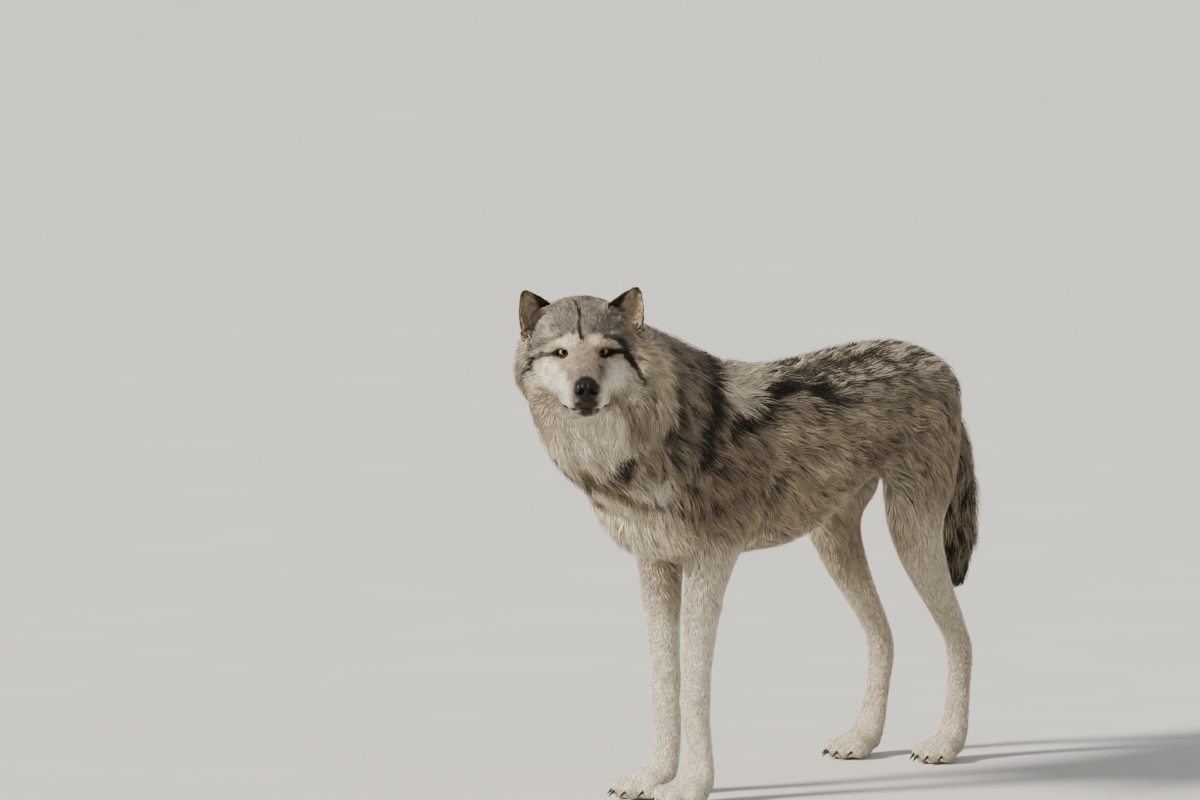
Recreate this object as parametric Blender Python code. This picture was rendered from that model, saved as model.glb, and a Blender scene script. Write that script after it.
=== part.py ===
"""Timber wolf, life size, standing still with its head turned to its left.

The body is modelled whole, out to the tips of the coat, from tapering forms that
are fused into one surface. Thin cuts then part it into head, neck, trunk, tail and
legs. Ears, eyes, nose and claws are bodies of their own, set into it.
Metres, +Z up. The wolf faces -X, and its left side is -Y.
"""

import math
from collections import namedtuple

import bmesh
import bpy
from mathutils import Matrix, Vector

# Driving dimensions, over the coat. The withers stand over x = 0.
WITHERS = 0.790
CHEST_HALF_WIDTH = 0.150
FORELEG_STEP = {"left": -0.092, "right": -0.043}
HINDLEG_STEP = {"left": 0.012, "right": -0.040}
EYES = Vector((-0.468, -0.091, 0.841))
HEAD_TURN = math.radians(40.5)
HEAD_NOD = math.radians(7)
EYE_SPREAD = 0.0345
EYE_DEPTH = 0.0105
EYEBALL = 0.0125
EAR_LENGTH = 0.123
EAR_HALF_WIDTH = 0.0430
EAR_THICKNESS = 0.009
EAR_HOLLOW = 0.034
EAR_TURN = {"left": math.radians(-6), "right": math.radians(22)}
CLAW_LENGTH = 0.016
CLAW_THICKNESS = 0.0038
CLAW_DROP = 0.0084
CLAW_SLOPE = (math.radians(18), math.radians(60))

# How the surface is made.
GAP = 0.0003
CORNER_GAP = GAP * math.sqrt(3)
SLIVER = 0.0001
VOXEL = 0.004
BODY_TRIANGLES = 4700
NOSE_FACETS_KEPT = 0.3
BALL_SIDES = 12
BALL_ROWS = 8
RING_POINTS = 20
STEPS_BETWEEN = 4
EAR_ROWS = 8
EAR_COLUMNS = 6
CLAW_SIDES = 5
CLAW_RINGS = 3
FUSED_SMOOTHING = 5
BROAD_SMOOTHING = 40
SHARP_EDGE = math.radians(50)
SIDES = {"left": -1, "right": 1}

FINISHES = {
    "head_fur": ((0.46, 0.41, 0.33), 0.85),
    "neck_fur": ((0.30, 0.26, 0.20), 0.85),
    "trunk_fur": ((0.27, 0.23, 0.17), 0.85),
    "leg_fur": ((0.55, 0.47, 0.36), 0.85),
    "tail_fur": ((0.24, 0.20, 0.15), 0.85),
    "ear_fur": ((0.25, 0.18, 0.11), 0.85),
    "nose_leather": ((0.012, 0.011, 0.012), 0.40),
    "eye_amber": ((0.50, 0.27, 0.05), 0.12),
    "claw_horn": ((0.030, 0.026, 0.022), 0.45),
}

TrunkStation = namedtuple("TrunkStation", "x back belly half_width")
NeckStation = namedtuple("NeckStation", "x y z half_height half_width")
HeadStation = namedtuple("HeadStation", "ahead crown widest floor half_width top_power low_power")
LimbStation = namedtuple("LimbStation", "x y z half_length half_width")
Form = namedtuple("Form", "ahead side up length width height")
Hollow = namedtuple("Hollow", "ahead side up reach depth")

# How far up the trunk its widest line runs, and how square its back is.
TRUNK_WIDEST = 0.54
TRUNK_TOP_POWER = 2.2

TRUNK = (
    TrunkStation(-0.238, 0.640, 0.515, 0.080),
    TrunkStation(-0.195, 0.705, 0.455, 0.120),
    TrunkStation(-0.100, 0.765, 0.428, 0.143),
    TrunkStation(0.000, WITHERS - 0.004, 0.424, CHEST_HALF_WIDTH),
    TrunkStation(0.100, 0.776, 0.427, 0.153),
    TrunkStation(0.200, 0.765, 0.432, 0.152),
    TrunkStation(0.300, 0.768, 0.468, 0.146),
    TrunkStation(0.400, 0.776, 0.518, 0.136),
    TrunkStation(0.500, 0.782, 0.540, 0.132),
    TrunkStation(0.580, 0.778, 0.545, 0.126),
    TrunkStation(0.630, 0.752, 0.570, 0.102),
    TrunkStation(0.655, 0.705, 0.610, 0.060),
)

NECK = (
    NeckStation(0.070, 0.000, 0.585, 0.130, 0.100),
    NeckStation(0.000, 0.000, 0.612, 0.160, 0.130),
    NeckStation(-0.070, 0.000, 0.642, 0.166, 0.143),
    NeckStation(-0.140, 0.000, 0.670, 0.168, 0.152),
    NeckStation(-0.215, -0.006, 0.700, 0.164, 0.154),
    NeckStation(-0.290, -0.022, 0.738, 0.152, 0.150),
    NeckStation(-0.350, -0.044, 0.772, 0.132, 0.140),
    NeckStation(-0.395, -0.064, 0.792, 0.110, 0.124),
    NeckStation(-0.430, -0.080, 0.800, 0.080, 0.098),
)

# Heights and distances of the head are measured from the point between the eyes.
SKULL = (
    HeadStation(-0.160, 0.056, -0.040, -0.110, 0.085, 2.0, 2.0),
    HeadStation(-0.125, 0.077, -0.045, -0.130, 0.112, 2.0, 2.0),
    HeadStation(-0.090, 0.086, -0.050, -0.140, 0.122, 2.0, 2.0),
    HeadStation(-0.060, 0.084, -0.050, -0.138, 0.116, 2.1, 2.0),
    HeadStation(-0.035, 0.073, -0.050, -0.124, 0.099, 2.2, 2.0),
    HeadStation(-0.014, 0.054, -0.048, -0.106, 0.080, 2.3, 2.0),
    HeadStation(0.004, 0.032, -0.048, -0.094, 0.066, 2.2, 2.2),
    HeadStation(0.024, 0.015, -0.049, -0.086, 0.057, 2.0, 2.4),
    HeadStation(0.050, 0.005, -0.051, -0.081, 0.050, 1.8, 2.8),
    HeadStation(0.080, -0.003, -0.050, -0.078, 0.043, 1.9, 2.8),
    HeadStation(0.106, -0.009, -0.048, -0.074, 0.037, 2.1, 2.6),
    HeadStation(0.122, -0.014, -0.045, -0.069, 0.031, 2.2, 2.3),
    HeadStation(0.131, -0.020, -0.043, -0.064, 0.021, 2.0, 2.0),
)

JAW = (
    HeadStation(-0.060, -0.050, -0.085, -0.140, 0.075, 2.0, 2.0),
    HeadStation(-0.010, -0.055, -0.084, -0.122, 0.054, 2.0, 2.0),
    HeadStation(0.040, -0.060, -0.080, -0.106, 0.038, 2.2, 2.0),
    HeadStation(0.080, -0.062, -0.078, -0.098, 0.032, 2.4, 2.0),
    HeadStation(0.106, -0.062, -0.075, -0.094, 0.026, 2.2, 2.0),
    HeadStation(0.118, -0.062, -0.073, -0.086, 0.016, 2.0, 2.0),
)

FACE_FORMS = (
    Form(-0.014, 0.056, -0.034, 0.034, 0.022, 0.026),
    Form(0.100, 0.021, -0.052, 0.027, 0.018, 0.020),
)

# The ruff is fuller on the side that the head turns to.
LEFT_RUFF = Form(-0.100, -0.084, -0.045, 0.060, 0.052, 0.088)

# Muscle and coat that stand out from the trunk, from each leg's own place.
SHOULDER = Form(-0.055, 0.086, 0.610, 0.105, 0.064, 0.150)
HAUNCH = Form(0.090, 0.078, 0.655, 0.105, 0.062, 0.110)

# Hollows pressed into the face, each with its reach and depth.
ORBIT = Hollow(0.014, 0.041, 0.000, 0.027, 0.013)
FOREHEAD_FURROW = Hollow(-0.010, 0.000, 0.042, 0.020, 0.003)
UNDER_EYE = Hollow(0.036, 0.042, -0.020, 0.022, 0.003)
MOUTH_CORNER = (0.046, 0.048, -0.066)
MOUTH_FRONT = (0.122, 0.010, -0.068)
MOUTH_BOW = 0.012
MOUTH_STEPS = 9
MOUTH_REACH = 0.011
MOUTH_DEPTH = 0.0022
FACE_REACH = 0.20

# Around the muzzle and eyes the facets are kept small.
FINE_FACE_REACH = 0.092
FINE_FACE_WEIGHT = 0.5
FINE_FACE_FACTOR = 0.05

# The almond-shaped opening before each eyeball: its size, place ahead and slants.
ALMOND = Vector((0.014, 0.0125, 0.0070))
ALMOND_AHEAD = 0.003
ALMOND_TURN = math.radians(25)
ALMOND_TILT = math.radians(8)

NOSE = (
    HeadStation(0.118, -0.026, -0.036, -0.050, 0.014, 2.0, 1.8),
    HeadStation(0.127, -0.020, -0.034, -0.054, 0.0195, 2.2, 1.7),
    HeadStation(0.137, -0.020, -0.033, -0.053, 0.0205, 2.4, 1.6),
    HeadStation(0.144, -0.024, -0.034, -0.048, 0.0150, 2.2, 1.8),
)

TAIL = (
    LimbStation(0.600, 0.000, 0.705, 0.040, 0.040),
    LimbStation(0.655, 0.000, 0.690, 0.042, 0.042),
    LimbStation(0.698, -0.002, 0.635, 0.047, 0.047),
    LimbStation(0.720, -0.006, 0.560, 0.054, 0.054),
    LimbStation(0.728, -0.012, 0.470, 0.058, 0.057),
    LimbStation(0.722, -0.018, 0.385, 0.049, 0.048),
    LimbStation(0.710, -0.022, 0.320, 0.026, 0.026),
)

# The legs are measured from the middle of the paw for x, and from the midline for y.
FORELEG = (
    LimbStation(0.035, 0.080, 0.660, 0.080, 0.045),
    LimbStation(0.032, 0.086, 0.580, 0.088, 0.058),
    LimbStation(0.022, 0.082, 0.500, 0.072, 0.053),
    LimbStation(0.010, 0.073, 0.430, 0.053, 0.043),
    LimbStation(0.002, 0.066, 0.370, 0.042, 0.036),
    LimbStation(0.000, 0.059, 0.300, 0.034, 0.031),
    LimbStation(0.000, 0.054, 0.235, 0.029, 0.027),
    LimbStation(-0.001, 0.051, 0.185, 0.030, 0.029),
    LimbStation(0.002, 0.052, 0.140, 0.026, 0.026),
    LimbStation(0.004, 0.055, 0.090, 0.026, 0.027),
    LimbStation(-0.003, 0.059, 0.055, 0.030, 0.032),
    LimbStation(-0.016, 0.062, 0.030, 0.036, 0.034),
)

HINDLEG = (
    LimbStation(-0.080, 0.060, 0.700, 0.080, 0.050),
    LimbStation(-0.092, 0.074, 0.620, 0.105, 0.060),
    LimbStation(-0.108, 0.082, 0.530, 0.094, 0.055),
    LimbStation(-0.122, 0.087, 0.455, 0.068, 0.046),
    LimbStation(-0.096, 0.084, 0.385, 0.050, 0.036),
    LimbStation(-0.044, 0.080, 0.310, 0.036, 0.029),
    LimbStation(0.004, 0.077, 0.245, 0.029, 0.023),
    LimbStation(0.026, 0.076, 0.195, 0.030, 0.023),
    LimbStation(0.022, 0.076, 0.140, 0.024, 0.022),
    LimbStation(0.012, 0.077, 0.085, 0.024, 0.025),
    LimbStation(0.000, 0.078, 0.050, 0.028, 0.029),
    LimbStation(-0.014, 0.078, 0.028, 0.032, 0.031),
)
HINDLEG_PLACE = 0.640

# Toes of one paw: distance ahead of the leg, and to the outer side of it.
FORE_TOES = ((0.052, -0.036), (0.074, -0.013), (0.074, 0.013), (0.052, 0.036))
HIND_TOES = ((0.047, -0.030), (0.066, -0.011), (0.066, 0.011), (0.047, 0.030))
FORE_TOE_SIZE = Vector((0.031, 0.0165, 0.0215))
HIND_TOE_SIZE = Vector((0.028, 0.0145, 0.0195))
TOE_HEIGHT = 0.018
SPLAY = math.radians(4)
CLAW_ROOT = 0.80

# The pad of one paw, from its heel, and its size in toes.
PAD_PLACE = Vector((-0.022, 0, 0.024))
PAD_SHARE = Vector((1.6, 2.3, 1.45))

EarRoot = namedtuple("EarRoot", "ahead side up")
EAR_ROOT = {"left": EarRoot(-0.056, 0.051, -0.001), "right": EarRoot(-0.056, 0.050, -0.003)}
EAR_LEAN = {"left": math.radians(23), "right": math.radians(29)}

# Each cut: its room's size, a point of its plane, and the way to the piece it parts off.
HEAD_CUT = (Vector((0.5, 0.5, 0.56)), Vector((-0.352, -0.030, 0.820)), Vector((-0.86, -0.34, 0.36)))
TAIL_CUT = (Vector((0.3, 0.3, 0.455)), Vector((0.662, 0.0, 0.535)), Vector((1, 0, 0)))
NECK_CUT = (Vector((0.5, 0.6, 0.66)), Vector((-0.110, 0.0, 0.690)), Vector((-0.90, 0.0, 0.44)))
LEG_INNER = 0.012
LEG_OUTER = 0.175
BELOW_FLOOR = -0.05

# The leg cuts from the side, as (x, z) from each leg's own place, and their slopes.
FORELEG_OUTLINE = ((-0.15, BELOW_FLOOR), (-0.15, 0.440), (-0.055, 0.500), (0.000, 0.545),
                   (0.060, 0.545), (0.092, 0.480), (0.092, BELOW_FLOOR))
HINDLEG_OUTLINE = ((-0.235, BELOW_FLOOR), (-0.235, 0.470), (-0.175, 0.560), (-0.155, 0.650),
                   (-0.080, 0.690), (0.000, 0.660), (0.120, 0.540), (0.120, BELOW_FLOOR))
FORELEG_SLOPE = (0.405, 0.570)
HINDLEG_SLOPE = (0.530, 0.700)
BROAD_FORMS_FROM_HEAD = 0.20
BROAD_FORMS_FROM_FLOOR = 0.45


def clear_scene():
    for thing in list(bpy.data.objects):
        bpy.data.objects.remove(thing, do_unlink=True)


def add_object(name, mesh):
    thing = bpy.data.objects.new(name, mesh)
    bpy.context.collection.objects.link(thing)
    return thing


def mesh_object(name, shape):
    bmesh.ops.recalc_face_normals(shape, faces=shape.faces)
    mesh = bpy.data.meshes.new(name)
    shape.to_mesh(mesh)
    shape.free()
    return add_object(name, mesh)


def copy_of(thing, name):
    return add_object(name, thing.data.copy())


def apply_modifiers(thing):
    """Replace the mesh with its evaluated one, cleaned of slivers."""
    graph = bpy.context.evaluated_depsgraph_get()
    mesh = bpy.data.meshes.new_from_object(thing.evaluated_get(graph))
    thing.modifiers.clear()
    old_mesh = thing.data
    thing.data = mesh
    bpy.data.meshes.remove(old_mesh)
    shape = bmesh.new()
    shape.from_mesh(mesh)
    bmesh.ops.remove_doubles(shape, verts=shape.verts, dist=SLIVER)
    bmesh.ops.dissolve_degenerate(shape, dist=SLIVER, edges=shape.edges)
    bmesh.ops.triangulate(shape, faces=shape.faces)
    shape.to_mesh(mesh)
    shape.free()


def add_boolean(thing, cutter, operation):
    cutter.hide_render = True
    cutter.display_type = "WIRE"
    cut = thing.modifiers.new(operation.lower(), "BOOLEAN")
    cut.operation = operation
    cut.solver = "EXACT"
    cut.object = cutter
    apply_modifiers(thing)


def section(half_width, rise, drop, top_power=2.0, low_power=2.0, points=RING_POINTS):
    """Outline of a slice: one superellipse above its widest line, another below."""
    outline = []
    for step in range(points):
        angle = 2 * math.pi * step / points
        across, upward = math.cos(angle), math.sin(angle)
        power = top_power if upward >= 0 else low_power
        reach = rise if upward >= 0 else drop
        side = half_width * math.copysign(abs(across) ** (2 / power), across)
        up = reach * math.copysign(abs(upward) ** (2 / power), upward)
        outline.append((side, up))
    return outline


def between(stations):
    """Stations with smooth (Catmull-Rom) ones added between each pair."""
    rows = [stations[0]] + list(stations) + [stations[-1]]
    smooth = []
    for first, start, end, last in zip(rows, rows[1:], rows[2:], rows[3:]):
        for step in range(STEPS_BETWEEN):
            t = step / STEPS_BETWEEN
            values = []
            for a, b, c, d in zip(first, start, end, last):
                curve = (2 * b + (c - a) * t + (2 * a - 5 * b + 4 * c - d) * t ** 2
                         + (3 * b - a - 3 * c + d) * t ** 3) / 2
                values.append(curve)
            smooth.append(type(start)(*values))
    smooth.append(stations[-1])
    return smooth


def skin_rings(shape, rings):
    """Join a row of rings into one closed tube with domed ends."""
    loops = [[shape.verts.new(point) for point in ring] for ring in rings]
    points = len(rings[0])
    for lower, upper in zip(loops, loops[1:]):
        for step in range(points):
            following = (step + 1) % points
            shape.faces.new((lower[step], lower[following], upper[following], upper[step]))
    for loop in (loops[0], loops[-1]):
        centre = shape.verts.new(sum((vert.co for vert in loop), Vector()) / points)
        for step in range(points):
            shape.faces.new((loop[step], loop[(step + 1) % points], centre))


def add_trunk(shape):
    rings = []
    for place in between(TRUNK):
        widest = place.belly + TRUNK_WIDEST * (place.back - place.belly)
        outline = section(place.half_width, place.back - widest, widest - place.belly,
                          TRUNK_TOP_POWER)
        rings.append([Vector((place.x, side, widest + up)) for side, up in outline])
    skin_rings(shape, rings)


def add_along_path(shape, stations, half_width, half_height):
    """A tube whose slices stand square to the path through its stations."""
    rings = []
    last = len(stations) - 1
    for number, place in enumerate(stations):
        before, after = stations[max(number - 1, 0)], stations[min(number + 1, last)]
        path = Vector(after[:3]) - Vector(before[:3])
        level = path.cross(Vector((0, 0, 1))) if abs(path.x) > abs(path.z) else Vector((0, 1, 0))
        level = (level - level.project(path)).normalized()
        level *= math.copysign(1, level.y)
        upward = path.cross(level).normalized()
        centre = Vector(place[:3])
        outline = section(half_width(place), half_height(place), half_height(place))
        rings.append([centre + level * side + upward * up for side, up in outline])
    skin_rings(shape, rings)


def head_matrix():
    """From the head's own axes, with the eyes at the origin, to the standing wolf."""
    turn = Matrix.Rotation(HEAD_TURN, 4, "Z")
    nod = Matrix.Rotation(-HEAD_NOD, 4, "Y")
    return Matrix.Translation(EYES) @ turn @ nod


def head_point(ahead, side, up):
    return head_matrix() @ Vector((-ahead, side, up))


FACE = head_point(0.055, 0, -0.030)


def add_head_tube(shape, stations):
    rings = []
    for place in between(stations):
        outline = section(place.half_width, place.crown - place.widest,
                          place.widest - place.floor, place.top_power, place.low_power)
        rings.append([head_point(place.ahead, side, place.widest + up) for side, up in outline])
    skin_rings(shape, rings)


def add_ellipsoid(shape, place, size, turn=Matrix.Identity(4)):
    matrix = Matrix.Translation(place) @ turn @ Matrix.Diagonal((*size, 1))
    bmesh.ops.create_uvsphere(shape, u_segments=BALL_SIDES, v_segments=BALL_ROWS, radius=1,
                              matrix=matrix)


def add_face_forms(shape):
    """Cheekbones and whisker pads, on both sides of the head."""
    turn = head_matrix().to_3x3().to_4x4()
    for form in FACE_FORMS:
        for sign in SIDES.values():
            place = head_point(form.ahead, sign * form.side, form.up)
            add_ellipsoid(shape, place, (form.length, form.width, form.height), turn)


def add_muscles(shape):
    for side, sign in SIDES.items():
        for form, step in ((SHOULDER, FORELEG_STEP[side]), (HAUNCH, HINDLEG_PLACE)):
            place = Vector((step - form.ahead, sign * form.side, form.up))
            add_ellipsoid(shape, place, (form.length, form.width, form.height))


def leg_stations(stations, sign, step):
    """The leg of one side, its paw moved by the whole step and its top by none of it."""
    top = stations[0].z
    moved = []
    for place in stations:
        share = (top - place.z) / top
        moved.append(place._replace(x=place.x + step * share, y=sign * place.y))
    return moved


def toe_place(side, toe, heel):
    """Where a toe lies, and the turn of its paw: the feet point a little outwards."""
    sign = SIDES[side]
    turn = Matrix.Rotation(-sign * SPLAY, 4, "Z")
    ahead, outward = toe
    offset = turn @ Vector((-ahead, sign * outward, 0))
    return Vector((heel.x, heel.y, TOE_HEIGHT)) + offset, turn


def add_paw(shape, side, heel, toes, toe_size):
    turn = toe_place(side, toes[0], heel)[1]
    add_ellipsoid(shape, heel + turn @ PAD_PLACE, toe_size * PAD_SHARE, turn)
    for toe in toes:
        place, turn = toe_place(side, toe, heel)
        add_ellipsoid(shape, place, toe_size, turn)


def add_legs(shape):
    """Four legs with their paws; returns each paw's heel and toes for the claws."""
    paws = {}
    for side, sign in SIDES.items():
        step = FORELEG_STEP[side]
        fore = [place._replace(x=place.x + step) for place in leg_stations(FORELEG, sign, 0)]
        hind = [place._replace(x=place.x + HINDLEG_PLACE)
                for place in leg_stations(HINDLEG, sign, HINDLEG_STEP[side])]
        for leg, stations, toes, size in (("foreleg", fore, FORE_TOES, FORE_TOE_SIZE),
                                          ("hindleg", hind, HIND_TOES, HIND_TOE_SIZE)):
            add_along_path(shape, between(stations), lambda p: p.half_width, lambda p: p.half_length)
            heel = Vector((stations[-1].x, stations[-1].y, 0))
            add_paw(shape, side, heel, toes, size)
            paws[f"{leg}_{side}"] = (side, heel, toes, size)
    return paws


def press(verts, place, reach, depth):
    """Push the surface in around a point, most at the point and less towards its reach."""
    for vert in verts:
        nearness = 1 - ((vert.co - place).length / reach) ** 2
        if nearness > 0:
            vert.co -= vert.normal * depth * nearness ** 2


def press_face(whole):
    """Eye sockets, furrow, the hollows below the eyes and the line of the closed mouth."""
    face = [vert for vert in whole.data.vertices if (vert.co - EYES).length < FACE_REACH]
    for sign in SIDES.values():
        for hollow in (ORBIT, FOREHEAD_FURROW, UNDER_EYE):
            place = head_point(hollow.ahead, sign * hollow.side, hollow.up)
            press(face, place, hollow.reach, hollow.depth)
        for step in range(MOUTH_STEPS):
            t = step / (MOUTH_STEPS - 1)
            ahead, side, up = (a + (b - a) * t for a, b in zip(MOUTH_CORNER, MOUTH_FRONT))
            side += MOUTH_BOW * math.sin(math.pi * t)
            press(face, head_point(ahead, sign * side, up), MOUTH_REACH, MOUTH_DEPTH)


def soften(whole):
    """Even out the broad forms, and leave the head, paws and tail tip as they are."""
    whole.vertex_groups.new(name="broad")
    group = whole.vertex_groups["broad"]
    for vert in whole.data.vertices:
        near_head = (vert.co - EYES).length / BROAD_FORMS_FROM_HEAD
        above_paws = vert.co.z / BROAD_FORMS_FROM_FLOOR
        group.add([vert.index], min(1.0, near_head ** 4, above_paws ** 2), "REPLACE")
    even = whole.modifiers.new("soften", "SMOOTH")
    even.factor = 0.5
    even.iterations = BROAD_SMOOTHING
    even.vertex_group = group.name
    apply_modifiers(whole)
    whole.vertex_groups.clear()


def drop_inner_pockets(whole):
    """Keep the outer surface alone, without the pockets closed in between forms."""
    shape = bmesh.new()
    shape.from_mesh(whole.data)
    shape.verts.ensure_lookup_table()
    unseen = set(shape.verts)
    shells = []
    while unseen:
        to_visit = [unseen.pop()]
        shell = []
        while to_visit:
            vert = to_visit.pop()
            shell.append(vert)
            for edge in vert.link_edges:
                other = edge.other_vert(vert)
                if other in unseen:
                    unseen.remove(other)
                    to_visit.append(other)
        shells.append(shell)
    shells.sort(key=len)
    inner = [vert for shell in shells[:-1] for vert in shell]
    bmesh.ops.delete(shape, geom=inner, context="VERTS")
    shape.to_mesh(whole.data)
    shape.free()


def thin_out(whole):
    """Leave fewer, larger facets, with the small ones kept for the face."""
    group = whole.vertex_groups.new(name="plain")
    for vert in whole.data.vertices:
        near_face = (vert.co - FACE).length < FINE_FACE_REACH
        group.add([vert.index], FINE_FACE_WEIGHT if near_face else 1.0, "REPLACE")
    thin = whole.modifiers.new("thin", "DECIMATE")
    thin.ratio = BODY_TRIANGLES / len(whole.data.polygons)
    thin.vertex_group = group.name
    thin.vertex_group_factor = FINE_FACE_FACTOR
    apply_modifiers(whole)
    whole.vertex_groups.clear()


def flatten_soles(whole):
    """Cut the paws off at the floor, so that each one rests on flats at one level."""
    shape = bmesh.new()
    shape.from_mesh(whole.data)
    everything = shape.verts[:] + shape.edges[:] + shape.faces[:]
    cut = bmesh.ops.bisect_plane(shape, geom=everything, dist=0.00005, plane_co=(0, 0, 0),
                                 plane_no=(0, 0, -1), clear_outer=True)
    edges = [item for item in cut["geom_cut"] if isinstance(item, bmesh.types.BMEdge)]
    bmesh.ops.triangle_fill(shape, use_beauty=True, edges=edges)
    bmesh.ops.recalc_face_normals(shape, faces=shape.faces)
    shape.to_mesh(whole.data)
    shape.free()


def build_whole():
    """The whole body as one fused surface that stands on flat soles."""
    shape = bmesh.new()
    add_trunk(shape)
    add_along_path(shape, between(NECK), lambda p: p.half_width, lambda p: p.half_height)
    add_along_path(shape, between(TAIL), lambda p: p.half_width, lambda p: p.half_length)
    add_head_tube(shape, SKULL)
    add_head_tube(shape, JAW)
    add_face_forms(shape)
    add_ellipsoid(shape, head_point(*LEFT_RUFF[:3]), LEFT_RUFF[3:],
                  head_matrix().to_3x3().to_4x4())
    add_muscles(shape)
    paws = add_legs(shape)
    whole = mesh_object("whole", shape)
    fuse = whole.modifiers.new("fuse", "REMESH")
    fuse.mode = "VOXEL"
    fuse.voxel_size = VOXEL
    even = whole.modifiers.new("even", "SMOOTH")
    even.factor = 0.5
    even.iterations = FUSED_SMOOTHING
    apply_modifiers(whole)
    press_face(whole)
    soften(whole)
    renew = whole.modifiers.new("renew", "REMESH")
    renew.mode = "VOXEL"
    renew.voxel_size = VOXEL
    apply_modifiers(whole)
    drop_inner_pockets(whole)
    thin_out(whole)
    flatten_soles(whole)
    return whole, paws


def grown(thing, name, amount):
    """A copy of a solid, larger by a hair all round, to cut its room out of another."""
    larger = copy_of(thing, name)
    swell = larger.modifiers.new("swell", "DISPLACE")
    swell.strength = amount
    swell.mid_level = 0
    apply_modifiers(larger)
    return larger


def cut_away(thing, solid, gap=GAP):
    """Take a solid and the gap round it out of another one."""
    cutter = grown(solid, "cutter", gap)
    add_boolean(thing, cutter, "DIFFERENCE")
    bpy.data.objects.remove(cutter)


def block(size, place, facing):
    """A box in front of a plane: the plane goes through place and faces along facing."""
    shape = bmesh.new()
    turn = facing.normalized().to_track_quat("X", "Z").to_matrix().to_4x4()
    slide = Matrix.Translation((size.x / 2, 0, 0))
    matrix = Matrix.Translation(place) @ turn @ slide @ Matrix.Diagonal((*size, 1))
    bmesh.ops.create_cube(shape, size=1, matrix=matrix)
    return mesh_object("block", shape)


def prism(outline, start, drawn_out):
    """A flat outline, moved to its start and drawn out into a closed prism."""
    shape = bmesh.new()
    base = shape.faces.new([shape.verts.new(start + point) for point in outline])
    drawn = bmesh.ops.extrude_face_region(shape, geom=[base])["geom"]
    tops = [item for item in drawn if isinstance(item, bmesh.types.BMVert)]
    bmesh.ops.translate(shape, verts=tops, vec=drawn_out)
    return mesh_object("block", shape)


def leg_block(side, side_outline, inner_height, outer_height):
    """Room of one leg: its outline from the side, below a slope from the midline out."""
    inner, outer = SIDES[side] * LEG_INNER, SIDES[side] * LEG_OUTER
    front_outline = [(inner, BELOW_FLOOR), (inner, inner_height),
                     (outer, outer_height), (outer, BELOW_FLOOR)]
    front = min(x for x, z in side_outline)
    back = max(x for x, z in side_outline)
    room = prism([Vector((0, y, z)) for y, z in front_outline], Vector((front, 0, 0)),
                 Vector((back - front, 0, 0)))
    profile = prism([Vector((x, 0, z)) for x, z in side_outline], Vector((0, inner, 0)),
                    Vector((0, outer - inner, 0)))
    add_boolean(room, profile, "INTERSECT")
    bpy.data.objects.remove(profile)
    return room


def part_off(whole, room, name):
    """Split the part of the whole inside a room into an object of its own."""
    piece = copy_of(whole, name)
    add_boolean(piece, room, "INTERSECT")
    cut_away(whole, room, CORNER_GAP)
    bpy.data.objects.remove(room)
    return piece


def part_whole(whole):
    """Thin cuts divide the whole; what is left of it in the end is the trunk."""
    pieces = {}
    cuts = [("head", block(*HEAD_CUT)), ("tail", block(*TAIL_CUT)), ("neck", block(*NECK_CUT))]
    for side in SIDES:
        shoulder = [(x + FORELEG_STEP[side], z) for x, z in FORELEG_OUTLINE]
        haunch = [(x + HINDLEG_PLACE, z) for x, z in HINDLEG_OUTLINE]
        cuts.append((f"foreleg_{side}", leg_block(side, shoulder, *FORELEG_SLOPE)))
        cuts.append((f"hindleg_{side}", leg_block(side, haunch, *HINDLEG_SLOPE)))
    for name, room in cuts:
        pieces[name] = part_off(whole, room, name)
    whole.name = "trunk"
    pieces["trunk"] = whole
    return pieces


def make_eye(side, head):
    """An eyeball in its socket, behind an almond-shaped opening."""
    turn = head_matrix().to_3x3().to_4x4()
    sign = SIDES[side]
    shape = bmesh.new()
    place = head_point(-EYE_DEPTH, sign * EYE_SPREAD, 0)
    add_ellipsoid(shape, place, (EYEBALL, EYEBALL, EYEBALL), turn)
    eye = mesh_object(f"eye_{side}", shape)
    opening = bmesh.new()
    slant = turn @ Matrix.Rotation(sign * ALMOND_TURN, 4, "Z")
    slant = slant @ Matrix.Rotation(sign * ALMOND_TILT, 4, "X")
    add_ellipsoid(opening, head_point(ALMOND_AHEAD, sign * EYE_SPREAD, 0), ALMOND, slant)
    almond = mesh_object("almond", opening)
    add_boolean(head, almond, "DIFFERENCE")
    bpy.data.objects.remove(almond)
    cut_away(head, eye)
    return eye


def make_nose(head):
    shape = bmesh.new()
    add_head_tube(shape, NOSE)
    nose = mesh_object("nose", shape)
    thin = nose.modifiers.new("thin", "DECIMATE")
    thin.ratio = NOSE_FACETS_KEPT
    apply_modifiers(nose)
    cut_away(head, nose)
    return nose


def ear_point(across, along, depth):
    """A point of the cupped ear: across from -1 to 1, along from root to tip."""
    width = EAR_HALF_WIDTH * (0.90 + 0.50 * along - 1.15 * along ** 2) * (1 - along ** 6) ** 0.5
    hollow = EAR_HOLLOW * (1 - 0.82 * along)
    back = hollow * (1 - across ** 2) + depth
    forward = 0.1 * EAR_LENGTH * along ** 2
    return Vector((back - forward, width * across, EAR_LENGTH * along))


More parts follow.
